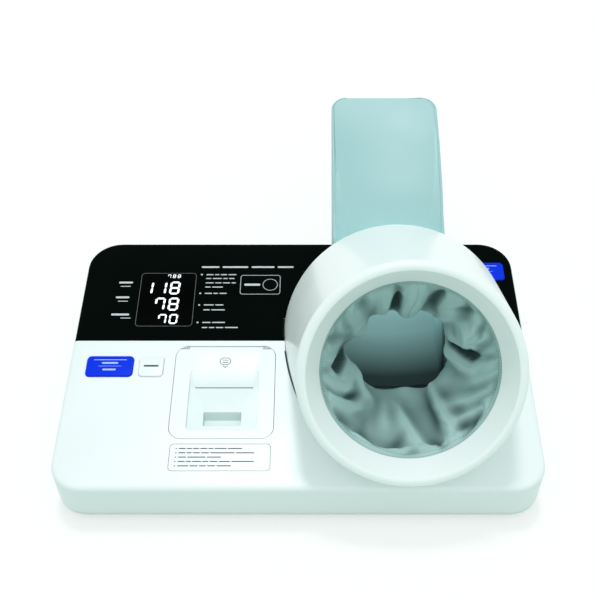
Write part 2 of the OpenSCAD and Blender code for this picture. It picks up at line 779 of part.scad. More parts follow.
flange = 2;
flange_t = 1.4;
flange_gap = 0.4;
stem_r = 3;
switch_top = -top_wall - flange_gap - flange_t - 3 - key_travel - 0.05;
key_board_h = switch_top - 4;
module key(x, t, w, extra) {
    on_top(x, t, 0) union() {
        translate([0, 0, -top_wall - flange_gap - flange_t])
            rounded_plate(w, key_l, key_r, top_wall + flange_gap + flange_t + key_proud - 0.6);
        translate([0, 0, key_proud - 0.6 - touch]) rounded_plate(w - 1, key_l - 1, key_r - 0.5, 0.6);
        translate([0, 0, -top_wall - flange_gap - flange_t])
            rounded_plate(w + flange, key_l + flange, key_r + 1, flange_t);
        for (sx = extra) translate([sx, 0, switch_top + key_travel + 0.05])
            cylinder(r = stem_r, h = 3.5);
    }
}
module start_key() {
    color([0.04, 0.24, 0.91]) key(start_key_x, key_mid, blue_key_w, [0]);
}
module clear_key() {
    color("white") key(clear_key_x, key_mid, white_key_w, [0]);
}
module rear_key() {
    color([0.04, 0.24, 0.91]) key(rear_key_x, rear_key_t, blue_key_w, [0]);
}
// A board from x on, w wide and l deep about t, held by two posts in front of it
key_post_r = 3;
module switch_board(x, t, w, l, inset, post_gap) {
    on_top(x, t - l / 2, key_board_h - board_t) cube([w, l, board_t]);
    for (px = [x + inset, x + w - inset])
        on_top(px, t - l / 2 - post_gap, key_board_h - board_t) union() {
            cylinder(r = key_post_r, h = -top_wall - key_board_h + board_t);
            translate([-key_post_r, 0, 0]) cube([2 * key_post_r, post_gap + 1, board_t]);
        }
}
key_board_from = start_key_x - blue_key_w / 2 - 6.7;
key_board_to = clear_key_x + white_key_w / 2 + 7.1;
module key_board() {
    color("seagreen") union() {
        switch_board(key_board_from, key_mid, key_board_to - key_board_from, key_l + 6.8, key_post_r + 1,
            key_post_r);
        switch_board(rear_key_x - blue_key_w / 2 + 4.3, rear_key_t, blue_key_w - 8.6, key_l - 1.2, 0,
            2 * key_post_r);
    }
}
module key_switch(x, t) {
    on_top(x, t, key_board_h) union() {
        translate([-3, -3, 0]) cube([6, 6, 3.2]);
        cylinder(r = 1.7, h = 4);
    }
}
module key_switches() {
    color("darkgray") union() {
        key_switch(start_key_x, key_mid);
        key_switch(clear_key_x, key_mid);
        key_switch(rear_key_x, rear_key_t);
    }
}
module notice_plate() {
    color("white") on_top(notice_x, notice_t, -notice_thick) rounded_plate(notice_w, notice_l, 4, notice_thick);
}

// ---------- pivot ----------

bush_r = 6;
module pivot_bracket(side) {
    x = side > 0 ? drum_x + bracket_in : drum_x - bracket_in - bracket_t;
    bench() difference() {
        union() {
            translate([x, pivot_y - bracket_foot / 2, floor_z])
                cube([bracket_t, bracket_foot, pivot_z - floor_z - bracket_neck]);
            translate([x, pivot_y - eye_r, floor_z]) cube([bracket_t, 2 * eye_r, pivot_z - floor_z]);
            translate([x, pivot_y, pivot_z]) rotate([0, 90, 0]) cylinder(r = eye_r, h = bracket_t);
        }
        translate([x - 1, pivot_y, pivot_z]) rotate([0, 90, 0]) cylinder(r = bush_r, h = bracket_t + 2);
    }
}
module left_pivot_bracket() {
    color("silver") pivot_bracket(-1);
}
module right_pivot_bracket() {
    color("silver") pivot_bracket(1);
}
module pivot_bushes() {
    color("ivory") for (side = [-1, 1])
        at_pivot() translate([0, 0, side > 0 ? bracket_in : -bracket_in - bracket_t])
            tube(bush_r, trunnion_r + 0.05, bracket_t);
}
boss_out_r = 8;
trunnion_from = side_x - 12;
module trunnion_pins() {
    color("silver") for (side = [-1, 1])
        at_pivot() translate([0, 0, side > 0 ? trunnion_from : -bracket_in - bracket_t])
            tube(trunnion_r, 1.5, bracket_in + bracket_t - trunnion_from);
}

// ---------- forearm rest ----------

rest_rim_y = 274;
rest_front_y = pivot_y - 13.6;
cup_bend_y = 245;
cup_soft = 18;
rest_gap = drum_len - pivot_back - pivot_drop * sin(drum_tilt) + 1.7;
lip_w = 3;
tip_steps = 6;
body_steps = 30;
arc_steps = 8;
function rim_line(y) = front_h + rest_rim_up + (y - rest_rim_y) * tan(rest_slope);
// The rest keeps clear of the drum's rear edge, at rest and fully tilted up
function drum_line(y, tilt) = pivot_z + ((y - pivot_y) * cos(tilt) - rest_gap) / sin(tilt);
function rest_rim(y) = min(rim_line(y), drum_line(y, drum_tilt), drum_line(y, drum_tilt + drum_lift));
function rest_floor(y) = rim_line(y) - cup_depth / (1 + exp((y - cup_bend_y) / cup_soft)) - 0.6;
function sag(y) = trough_sag * min(1, (rest_tip_y - y) / 60);
// Half width of the trough's floor: full at the tip, drawn in at the bend, wider in the cup
function floor_half(y) = rest_w / 2 - lip_w
    - 12 * exp(-pow((y - cup_bend_y - 20) / 55, 2));
function tip_half(y) = y < rest_tip_y - rest_corner_r ? rest_w / 2
    : rest_w / 2 - rest_corner_r
        + sqrt(max(0, pow(rest_corner_r, 2) - pow(y - rest_tip_y + rest_corner_r, 2)));
function rest_section(y) =
    let (hw = rest_w / 2, k = tip_half(y) / hw, f = floor_half(y), z = rest_floor(y),
        rim = max(rest_rim(y), z + sag(y) + 0.5))
    [for (p = concat([[-hw, z - rest_t], [-hw, rim], [-hw + lip_w, rim]],
        [for (i = [0:arc_steps]) let (x = f * (2 * i / arc_steps - 1)) [x, z + sag(y) * pow(x / f, 2)]],
        [[hw - lip_w, rim], [hw, rim], [hw, z - rest_t]]))
        [rest_x + p.x * k, y, p.y]];
rest_stations = concat(
    [for (i = [0:body_steps]) rest_front_y + (rest_tip_y - rest_corner_r - rest_front_y) * i / body_steps],
    [for (i = [1:tip_steps]) rest_tip_y - rest_corner_r + rest_corner_r * sin(88 * i / tip_steps)]);
// A closed skin through rings of points, each ring with the same number of points
module skin(rings) {
    n = len(rings[0]);
    last = (len(rings) - 1) * n;
    polyhedron(
        points = [for (r = rings) each r],
        faces = concat(
            [for (i = [0:len(rings) - 2], j = [0:n - 1]) [i * n + j, i * n + (j + 1) % n, (i + 1) * n + (j + 1) % n]],
            [for (i = [0:len(rings) - 2], j = [0:n - 1]) [i * n + j, (i + 1) * n + (j + 1) % n, (i + 1) * n + j]],
            [[for (j = [n - 1:-1:0]) j]],
            [[for (j = [0:n - 1]) last + j]]));
}
module arm_rest() {
    color([0.69, 0.85, 0.84]) bench() skin([for (y = rest_stations) rest_section(y)]);
}
// Side view of the back cover: under the scoop, down to the top face, and out to the tip
back_from = 250;
back_foot = 305;
back_tip = rest_tip_y - 6;
back_gap = 0.3;
back_steps = 32;
function under(y) = rest_floor(y) - rest_t - back_gap;
function back_side(t) = concat(
    [for (i = [0:back_steps]) let (y = back_from + t * 1.5 + (back_tip - 2.2 * t - back_from) * i / back_steps)
        [y, under(y) + (t > 0 ? 8 : 0)]],
    [[back_tip - 2.2 * t, under(back_tip - 2.2 * t) - (t > 0 ? 0 : 1)], [back_foot - t * 0.4, top_z(back_foot) + 4 + t],
        [back_foot - t * 0.4, top_z(back_foot) + t], [back_from + 1.5 * t, top_z(back_from) + t]]);
module arm_rest_back() {
    color([0.69, 0.85, 0.84]) bench() translate([rest_x - rest_w / 2, 0, 0]) difference() {
        rotate([90, 0, 90]) linear_extrude(rest_w) polygon(back_side(0));
        translate([rest_t, 0, 0]) rotate([90, 0, 90]) linear_extrude(rest_w - 2 * rest_t) polygon(back_side(rest_t));
        tip_corners();
    }
}
// What the rest's two round corners leave outside
module tip_corners() {
    for (side = [0, 1]) translate([side * rest_w, rest_tip_y - rest_corner_r, 0]) mirror([side, 0, 0])
        difference() {
            translate([-1, 0, 0]) cube([rest_corner_r + 1, rest_corner_r + 1, big]);
            translate([rest_corner_r, 0, -1]) cylinder(r = rest_corner_r, h = big + 2);
        }
}
rest_post_x = [rest_x - 40, rest_x + 40];
rest_post_r = 5;
rest_post_y = pivot_y + 2;
rest_post_z = rest_floor(rest_post_y - rest_post_r) - rest_t - 0.1;

// ---------- cuff drum ----------

shell_from = 6;
drum_floor_z = 16;
belly_floor_z = 29;
module drum_cone(inset, from, to) {
    in_drum() rotate_extrude($fn = 96)
        polygon([[0, from], [cone_r(from) - inset, from], [cone_r(to) - inset, to], [0, to]]);
}
// The oval turned about the pivot: it fills the opening at every tilt
function turn_r(l) = norm([cut_y(l) - pivot_y, top_z(cut_y(l)) - pivot_z]);
module belly(inset, drop, low) {
    half = [for (l = cut_places(0, cut_to)) [turn_r(l) - inset, cut_half(l, 0) - inset]];
    n = len(half) - 1;
    intersection() {
        at_pivot() rotate_extrude($fn = 96) polygon(concat(
            [[0, side_x - inset]], [for (i = [n:-1:1]) half[i]], [[half[0].x, 0]],
            [for (i = [1:n]) [half[i].x, -half[i].y]], [[0, inset - side_x]]));
        bench() translate([drum_x - big / 2, 0, 0]) rotate([90, 0, 90]) linear_extrude(big)
            polygon([[-50, low], [pivot_y, low], [pivot_y, top_z(pivot_y) - drop], [-50, top_z(-50) - drop]]);
    }
}
module drum_shell() {
    color("white") difference() {
        union() {
            drum_cone(0, shell_from, drum_len);
            belly(0, 1, belly_floor_z);
            for (side = [-1, 1])
                at_pivot() translate([0, 0, side > 0 ? trunnion_from : -side_x - 1])
                    cylinder(r = boss_out_r, h = side_x + 1 - trunnion_from);
        }
        difference() {
            union() {
                drum_cone(shell_t, shell_from - 1, drum_len + 1);
                belly(shell_t, 1 + shell_t, belly_floor_z - 20);
            }
            for (side = [-1, 1])
                at_pivot() translate([0, 0, side > 0 ? trunnion_from : -side_x - 1])
                    cylinder(r = boss_out_r, h = side_x + 1 - trunnion_from);
        }
        at_pivot() translate([0, 0, -big / 2]) cylinder(r = trunnion_r, h = big);
        in_drum() translate([0, 0, drum_len]) cylinder(r = rear_r + 30, h = 60);
        bench() translate([-big / 2, -big / 2, -big]) cube([big, big, big + drum_floor_z]);
    }
}
// Section of the bezel: radius, and distance behind the rim
bezel_t = 2.6;
nose_steps = 10;
module drum_bezel() {
    nose_mid = rim_r - nose_r;
    color("white") in_drum() rotate_extrude($fn = 96) polygon(concat(
        [[rim_r, shell_from]],
        [for (i = [0:nose_steps]) let (a = -115 * i / nose_steps)
            [nose_mid + nose_r * cos(a), nose_r * sin(a)]],
        [[opening_r, opening_back], [opening_r, opening_back + 7], [opening_r + 3.6, opening_back + 7],
            [opening_r + 3.6, opening_back + 1.5], [nose_mid + 1, -nose_r + bezel_t + 1],
            [rim_r - bezel_t, 0], [rim_r - bezel_t, shell_from]]));
}
frame_front = 16;
frame_rear = 140;
frame_round = 7.6;
drive_room = 43;
frame_r0 = opening_r + frame_round;
frame_r1 = rear_r - drive_room;
function frame_r(l) = frame_r0 + (frame_r1 - frame_r0) * (l - frame_front) / (frame_rear - frame_front);
module cone_tube(gap, thick, from, to) {
    rotate_extrude($fn = 96) polygon([[frame_r(from) - gap, from], [frame_r(to) - gap, to],
        [frame_r(to) - gap - thick, to], [frame_r(from) - gap - thick, from]]);
}
gear_l = 104;
gear_t = 6;
motor_plate_l = 100;
wrap_motor_r = 10;
wrap_motor_len = 40;
motor_gap = 0.7;
// Radius at which the motor and the gear stand, between the frame and the shell
gear_ring_r = cone_r(motor_plate_l - wrap_motor_len) - shell_t - wrap_motor_r - motor_gap;
gear_clear = 2.6;
gear_room = min(cone_r(gear_l) - shell_t - gear_ring_r, gear_ring_r - frame_r(gear_l)) - gear_clear;
pinion_teeth = 10;
gear_teeth = 2 * round(gear_room);
gear_reach = (pinion_teeth + gear_teeth) / 2;
pinion_angle = 225;
gear_angle = pinion_angle + 2 * asin(gear_reach / 2 / gear_ring_r);
module at_pinion() {
    in_drum() rotate(pinion_angle) translate([gear_ring_r, 0, 0]) children();
}
module at_gear() {
    in_drum() rotate(gear_angle) translate([gear_ring_r, 0, 0]) children();
}
module cuff_frame() {
    color("gainsboro") difference() {
        union() {
            in_drum() cone_tube(0, 2.4, frame_front, frame_rear);
            intersection() {
                in_drum() translate([0, 0, motor_plate_l]) rotate(pinion_angle - 20) linear_extrude(2)
                    polygon([for (r = [0, 1], i = [0:10]) let (a = r > 0 ? 50 - 5 * i : 5 * i)
                        (r > 0 ? cone_r(motor_plate_l) - shell_t - 1 : frame_r(motor_plate_l) - 1) * [cos(a), sin(a)]]);
            }
        }
        at_pinion() translate([0, 0, 90]) cylinder(r = 3.2, h = 30);
        at_gear() translate([0, 0, 90]) cylinder(r = 2, h = 30);
    }
}
belt_gap = 3;
belt_t = 0.8;
spool_r = 4.5;
spool_len = 12;
module wrap_belt() {
    color("dimgray") in_drum() cone_tube(belt_gap, belt_t, gear_l + gear_t - 2, gear_l + gear_t + spool_len);
}
curler_gap = belt_gap + belt_t + 0.2;
curler_t = 1.2;
curler_from = frame_front + 14;
curler_to = frame_rear - 10;
module curler() {
    color("lightyellow") in_drum() difference() {
        cone_tube(curler_gap, curler_t, curler_from, curler_to);
        translate([-3, 0, 0]) cube([6, big, big]);
    }
}
bladder_gap = curler_gap + curler_t + 0.3;
module air_bladder() {
    color("slategray") in_drum() cone_tube(bladder_gap, bladder_t, curler_from + 2, curler_to - 2);
}

// The cloth runs in from the arm opening to a narrow throat and out again to the rear ring
cloth_from = opening_back + 0.4;
cloth_to = frame_rear - 0.3;
cloth_rear_r = frame_r1 - 11;
throat_at = 0.5;
throat_r = 44;
// Main folds at the throat: direction in degrees (0 right, 90 up), how far out, half width
folds = [[166, 16, 12], [128, 9, 14], [105, 4, 10], [86, -3, 9], [66, 8, 10], [44, 11, 13],
    [15, -3, 14], [-30, -5, 18], [-88, -14, 36], [-155, 2, 14], [-176, 6, 10]];
cloth_turn = 44;
cloth_runs = 12;
function turn_gap(a, b) = abs(((a - b + 540) % 360) - 180);
function fold_sum(a) = throat_r + sum_folds(a, 0);
function sum_folds(a, i) = i >= len(folds) ? 0
    : folds[i][1] * exp(-pow(turn_gap(a, folds[i][0]) / folds[i][2], 2)) + sum_folds(a, i + 1);
// Share of the way in to the throat at share s of the length
function drawn_in(s) = s < throat_at ? pow(sin(90 * s / throat_at), 2)
    : pow(cos(90 * (s - throat_at) / (1 - throat_at)), 2);
function cloth_edge(s) = s < throat_at ? opening_r - cloth_t - 0.3 : cloth_rear_r;
function cloth_r(a, s) = cloth_edge(s) + (fold_sum(a) - cloth_edge(s)) * drawn_in(s);
function cloth_ring(s, out) = [for (j = [0:cloth_turn - 1]) let (a = 360 * j / cloth_turn,
    r = cloth_r(a, s) + out) [r * cos(a), -r * sin(a), cloth_from + (cloth_to - cloth_from) * s]];
// A closed tube of cloth: the inner and the outer face, joined at both ends
module cuff_cloth() {
    rings = concat([for (i = [0:cloth_runs]) cloth_ring(i / cloth_runs, 0)],
        [for (i = [cloth_runs:-1:0]) cloth_ring(i / cloth_runs, cloth_t)]);
    n = cloth_turn;
    m = len(rings);
    color([0.47, 0.62, 0.6]) in_drum() polyhedron(
        points = [for (r = rings) each r],
        faces = concat(
            [for (i = [0:m - 1], j = [0:n - 1]) let (k = (i + 1) % m)
                [i * n + j, k * n + (j + 1) % n, i * n + (j + 1) % n]],
            [for (i = [0:m - 1], j = [0:n - 1]) let (k = (i + 1) % m)
                [i * n + j, k * n + j, k * n + (j + 1) % n]]));
}
module rear_ring() {
    color("gainsboro") difference() {
        in_drum() translate([0, 0, frame_rear])
            tube(cone_r(frame_rear) - shell_t - 0.3, cloth_rear_r - 1, 3);
        bench() translate([-big / 2, -big / 2, -big]) cube([big, big, big + drum_floor_z]);
    }
}
module wrap_motor() {
    color("silver") at_pinion() translate([0, 0, motor_plate_l - wrap_motor_len]) union() {
        cylinder(r = wrap_motor_r, h = wrap_motor_len);
        translate([0, 0, wrap_motor_len - touch]) cylinder(r = 3, h = 2);
    }
}
// A spur gear of module 1, with straight-sided teeth
module spur_gear(teeth, turn, thick) {
    pitch = 360 / teeth;
    root = teeth / 2 - 1.2;
    tip = teeth / 2 + 0.9;
    rotate(turn) linear_extrude(thick) polygon([for (i = [0:teeth - 1])
        each [for (q = [[root, -0.31], [tip, -0.12], [tip, 0.12], [root, 0.31]])
            q[0] * [cos((i + q[1]) * pitch), sin((i + q[1]) * pitch)]]]);
}
mesh_angle = (gear_angle - pinion_angle) / 2 + 90;
module motor_pinion() {
    color("gold") at_pinion() translate([0, 0, gear_l]) union() {
        spur_gear(pinion_teeth, mesh_angle, gear_t);
        translate([0, 0, gear_t - touch]) cylinder(r = 2, h = 2);
    }
}
module wrap_gear() {
    color("gold") at_gear() difference() {
        union() {
            translate([0, 0, gear_l])
                spur_gear(gear_teeth, mesh_angle - (gear_angle - pinion_angle) + 180 / gear_teeth, gear_t);
            translate([0, 0, gear_l + gear_t - touch]) cylinder(r = spool_r, h = spool_len);
            translate([0, 0, gear_l + gear_t + spool_len - 1]) cylinder(r = spool_r + 2, h = 1);
        }
        translate([0, 0, 90]) cylinder(r = 2.05, h = 60);
    }
}
module gear_axle() {
    color("silver") at_gear() translate([0, 0, motor_plate_l]) cylinder(r = 2, h = frame_rear - motor_plate_l);
}

bottom_case();
top_case();
rubber_feet();
case_screws();
display_panel();
display_window();
display_module();
main_board();
pressure_sensor();
power_supply();
mains_inlet();
switch_frame();
mains_rocker();
data_port();
speaker();
air_pump();
pump_mounts();
air_valve();
air_hose();
printer_frame();
print_head();
printer_motor();
paper_spindle();
paper_roll();
cover_pin();
printer_cover();
platen_roller();
key_board();
key_switches();
start_key();
clear_key();
rear_key();
notice_plate();
left_pivot_bracket();
right_pivot_bracket();
pivot_bushes();
arm_rest();
arm_rest_back();
drum_shell();
drum_bezel();
trunnion_pins();
cuff_frame();
wrap_belt();
curler();
air_bladder();
cuff_cloth();
rear_ring();
wrap_motor();
motor_pinion();
wrap_gear();
gear_axle();
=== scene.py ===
"""Arm-in blood pressure monitor, dressed: moulded plastic, print, forearm scoop and gathered cuff cloth."""
import math

import bpy
import numpy as np
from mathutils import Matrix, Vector


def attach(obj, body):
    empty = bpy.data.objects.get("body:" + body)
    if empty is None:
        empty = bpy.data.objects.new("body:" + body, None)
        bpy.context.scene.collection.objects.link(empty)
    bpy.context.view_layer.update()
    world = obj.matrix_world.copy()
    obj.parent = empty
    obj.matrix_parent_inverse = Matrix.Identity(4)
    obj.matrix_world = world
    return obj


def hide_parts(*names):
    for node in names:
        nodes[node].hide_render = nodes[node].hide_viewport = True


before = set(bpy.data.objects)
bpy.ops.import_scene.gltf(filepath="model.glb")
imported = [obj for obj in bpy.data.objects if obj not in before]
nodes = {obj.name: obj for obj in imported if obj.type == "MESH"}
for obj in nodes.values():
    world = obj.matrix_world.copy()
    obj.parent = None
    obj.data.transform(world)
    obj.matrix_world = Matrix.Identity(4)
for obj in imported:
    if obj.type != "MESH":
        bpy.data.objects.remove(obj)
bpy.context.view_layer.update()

# ---------- the console's measures, in millimetres, as the frame was built ----------

FRONT_H = 51
SLOPE = math.radians(8.5)
MID_Y = 209.568
DRUM_X, RIM_Y, RIM_Z = 104.5, 50, 158
DRUM_TILT = math.radians(33)
OPENING_R, OPENING_BACK = 84.4, 14.3
REST_X, REST_W, REST_TIP_Y, REST_CORNER_R = 96.5, 121, 430, 16
KEY_PROUD = 1.6
KEY_R = 4.5


def on_top(x, t, h):
    """Row frame point, from millimetres across, back along the sloping top and square out of it."""
    x, t, h = np.broadcast_arrays(np.asarray(x, float), t, h)
    y = t * math.cos(SLOPE) - h * math.sin(SLOPE) - MID_Y
    z = FRONT_H + t * math.sin(SLOPE) + h * math.cos(SLOPE)
    return np.stack([x, y, z], -1) / 1000


def in_drum(right, up, back):
    """Row frame point, from millimetres right and up across the drum and back along its axis."""
    right, up, back = np.broadcast_arrays(np.asarray(right, float), up, back)
    sin, cos = math.sin(DRUM_TILT), math.cos(DRUM_TILT)
    y = RIM_Y + up * sin + back * cos - MID_Y
    z = RIM_Z + up * cos - back * sin
    return np.stack([right + DRUM_X, y, z], -1) / 1000


def on_bench(x, y, z):
    """Row frame point of x, y behind the console's front edge and z above the table, in millimetres."""
    x, y, z = np.broadcast_arrays(np.asarray(x, float), y, z)
    return np.stack([x, y - MID_Y, z], -1) / 1000


# ---------- meshes ----------

def grid_faces(rows, columns, round_rows=False, round_columns=False):
    """Four-sided faces of a grid of points: each joins a point to the next along and the next across."""
    i = np.arange(rows if round_rows else rows - 1)[:, None]
    j = np.arange(columns if round_columns else columns - 1)[None, :]
    i2, j2 = (i + 1) % rows, (j + 1) % columns
    corners = [i * columns + j, i2 * columns + j, i2 * columns + j2, i * columns + j2]
    return np.stack(np.broadcast_arrays(*corners), -1).reshape(-1, 4)


def piece(name, points, faces, finish, body, slot=None, smooth=True):
    """A mesh of its own from an array of points and lists of faces, riding on a body."""
    mesh = bpy.data.meshes.new(name)
    mesh.from_pydata(np.asarray(points).reshape(-1, 3).tolist(), [], [list(map(int, f)) for f in faces])
    mesh.update()
    mesh.polygons.foreach_set("use_smooth", [smooth] * len(mesh.polygons))
    obj = bpy.data.objects.new(name, mesh)
    bpy.context.scene.collection.objects.link(obj)
    mesh.materials.append(finish)
    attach(obj, body)
    return obj


def joined(parts):
    """Several (points, faces) lists as one."""
    points, faces, start = [], [], 0
    for some_points, some_faces in parts:
        some_points = np.asarray(some_points).reshape(-1, 3)
        points.append(some_points)
        faces += [[int(c) + start for c in f] for f in some_faces]
        start += len(some_points)
    return np.concatenate(points), faces


def oblong(w, l, r, corner_steps=8):
    """Outline of a round-cornered oblong about the origin: a quarter circle at each corner."""
    a = np.radians(np.linspace(0, 90, corner_steps + 1))
    quarter = np.stack([np.cos(a), np.sin(a)], -1) * r
    turns = [np.array([[math.cos(q), math.sin(q)], [-math.sin(q), math.cos(q)]])
             for q in np.radians([0, 90, 180, 270])]
    middles = np.array([[1, 1], [-1, 1], [-1, -1], [1, -1]]) * [w / 2 - r, l / 2 - r]
    return np.concatenate([quarter @ turn + middle for turn, middle in zip(turns, middles)])


def circle(r, steps=20):
    """Points round a circle of radius r about the origin."""
    a = np.linspace(0, 2 * math.pi, steps, endpoint=False)
    return np.stack([np.cos(a), np.sin(a)], -1) * r


def inked_plate(outline, low, high, place=on_top):
    """A flat plate: the outline at height low and again at height high, its sides and its two faces."""
    outline = np.asarray(outline, float)
    n = len(outline)
    points = np.stack([place(outline[:, 0], outline[:, 1], h) for h in (low, high)])
    faces = grid_faces(2, n, round_columns=True)[:, ::-1].tolist()
    return points, faces + [list(range(n))[::-1], list(range(n, 2 * n))]


def inked_line(path, width, low, high, closed=True, place=on_top):
    """A printed rule: an oblong section, width across and low to high, carried along a flat path."""
    path = np.asarray(path, float)
    ahead = np.roll(path, -1, 0) - path
    behind = path - np.roll(path, 1, 0)
    if not closed:
        ahead[-1], behind[0] = behind[-1], ahead[0]
    ahead /= np.linalg.norm(ahead, axis=1, keepdims=True)
    behind /= np.linalg.norm(behind, axis=1, keepdims=True)
    along = ahead + behind
    along /= np.linalg.norm(along, axis=1, keepdims=True)
    side = np.stack([along[:, 1], -along[:, 0]], -1) / (along * ahead).sum(1, keepdims=True)
    right, left = path + side * width / 2, path - side * width / 2
    rails = [(right, low), (right, high), (left, high), (left, low)]
    points = np.stack([place(p[:, 0], p[:, 1], h) for p, h in rails], 1)
    faces = grid_faces(len(path), 4, round_rows=closed, round_columns=True)[:, ::-1].tolist()
    if not closed:
        last = 4 * (len(path) - 1)
        faces += [[0, 1, 2, 3], [last + 3, last + 2, last + 1, last]]
    return points, faces


def dome(outline_at, heights, place=on_top):
    """A raised cap: the outline for each step in from the edge, at that step's height, closed on top."""
    rings = np.stack([place(o[:, 0], o[:, 1], h) for o, h in zip(outline_at, heights)])
    m, n = rings.shape[:2]
    faces = grid_faces(m, n, round_columns=True)[:, ::-1].tolist()
    return rings, faces + [list(range((m - 1) * n, m * n)), list(range(n))[::-1]]


# ---------- finishes ----------

def shade(red, green, blue):
    """A colour as the shaders take it, from 0 to 255 screen values."""
    c = np.array([red, green, blue]) / 255
    return tuple(np.where(c < 0.04045, c / 12.92, ((c + 0.055) / 1.055) ** 2.4)) + (1.0,)


class Finish:
    """A node material for one finish, read on Object coordinates unless told otherwise."""

    def __init__(self, name, colour, roughness, **sockets):
        self.material = bpy.data.materials.new(name)
        self.material.use_nodes = True
        self.tree = self.material.node_tree
        self.shader = self.tree.nodes["Principled BSDF"]
        self.set(self.shader, {"Base Color": colour, "Roughness": roughness})
        self.set(self.shader, {k.replace("_", " "): v for k, v in sockets.items()})
        self.where = self.add("ShaderNodeTexCoord").outputs["Object"]

    def set(self, node, values):
        for name, value in values.items():
            if hasattr(value, "is_output"):
                self.tree.links.new(value, node.inputs[name])
            else:
                node.inputs[name].default_value = value

    def add(self, kind, values=None, **settings):
        node = self.tree.nodes.new(kind)
        for name, value in settings.items():
            setattr(node, name, value)
        self.set(node, values or {})
        return node

    def cloudy(self, scale, detail=3, where=None):
        """Soft random patches, 1/scale metres across."""
        values = {"Vector": where or self.where, "Scale": scale, "Detail": detail}
        return self.add("ShaderNodeTexNoise", values).outputs["Fac"]

    def between(self, fac, low, high, from_low=0.35, from_high=0.65):
        """A number from low to high as fac goes through its usual middle range."""
        values = {"Value": fac, "From Min": from_low, "From Max": from_high, "To Min": low, "To Max": high}
        return self.add("ShaderNodeMapRange", values).outputs["Result"]

    def two_tone(self, fac, one, other):
        """Base colour from one to the other by fac."""
        mix = self.add("ShaderNodeMix", data_type="RGBA")
        self.tree.links.new(fac, mix.inputs["Factor"])
        colours = [s for s in mix.inputs if s.type == "RGBA"]
        colours[0].default_value, colours[1].default_value = one, other
        out = [s for s in mix.outputs if s.type == "RGBA"][0]
        self.tree.links.new(out, self.shader.inputs["Base Color"])
        return self

    def deepened(self, fac, colour):
        """Base colour multiplied by a darker one where fac is 1."""
        mix = self.add("ShaderNodeMix", {"Factor": fac}, data_type="RGBA", blend_type="MULTIPLY")
        one, other = (socket for socket in mix.inputs if socket.type == "RGBA")
        self.tree.links.new(self.shader.inputs["Base Color"].links[0].from_socket, one)
        other.default_value = colour
        out = [socket for socket in mix.outputs if socket.type == "RGBA"][0]
        self.tree.links.new(out, self.shader.inputs["Base Color"])
        return self

    def uneven(self, scale, low, high):
        """Roughness that drifts between low and high."""
        self.set(self.shader, {"Roughness": self.between(self.cloudy(scale), low, high)})
        return self

    def bumped(self, height, depth, normal=None):
        """Relief of depth metres from a height of 0 to 1."""
        bump = self.add("ShaderNodeBump", {"Height": height, "Distance": depth, "Strength": 1.0})
        if normal:
            self.tree.links.new(normal, bump.inputs["Normal"])
        self.tree.links.new(bump.outputs["Normal"], self.shader.inputs["Normal"])
        return self


def moulded(name, colour, other, roughness, grain=2600, depth=0.00002, edge=0.0005, **sockets):
    """Injection-moulded plastic: two near shades in soft clouds, fine spark grain, eased edges."""
    f = Finish(name, colour, roughness[0], **sockets)
    f.two_tone(f.between(f.cloudy(7, 1), 0, 1, 0.2, 0.8), colour, other).uneven(18, *roughness)
    eased = f.add("ShaderNodeBevel", {"Radius": edge}, samples=4).outputs["Normal"] if edge else None
    return f.bumped(f.cloudy(grain, 2), depth, eased).material


def metal(name, colour, other, roughness, stretch=(1, 1, 40)):
    """Drawn or turned metal: fine streaks along one way."""
    f = Finish(name, colour, roughness[0], Metallic=1.0)
    streaks = f.add("ShaderNodeMapping", {"Vector": f.where, "Scale": stretch}).outputs["Vector"]
    fac = f.cloudy(120, 4, streaks)
    f.two_tone(f.between(fac, 0, 1), colour, other)
    f.set(f.shader, {"Roughness": f.between(fac, *roughness)})
    return f.bumped(fac, 0.00001).material


def board(name, colour, other):
    """Circuit board: solder mask over a faint run of tracks."""
    f = Finish(name, colour, 0.35, Coat_Weight=0.3)
    cells = f.add("ShaderNodeTexVoronoi", {"Vector": f.where, "Scale": 260}, distance="MANHATTAN")
    tracks = cells.outputs["Distance"]
    return f.two_tone(f.between(tracks, 0, 1, 0.2, 0.45), colour, other).bumped(tracks, 0.00004).material


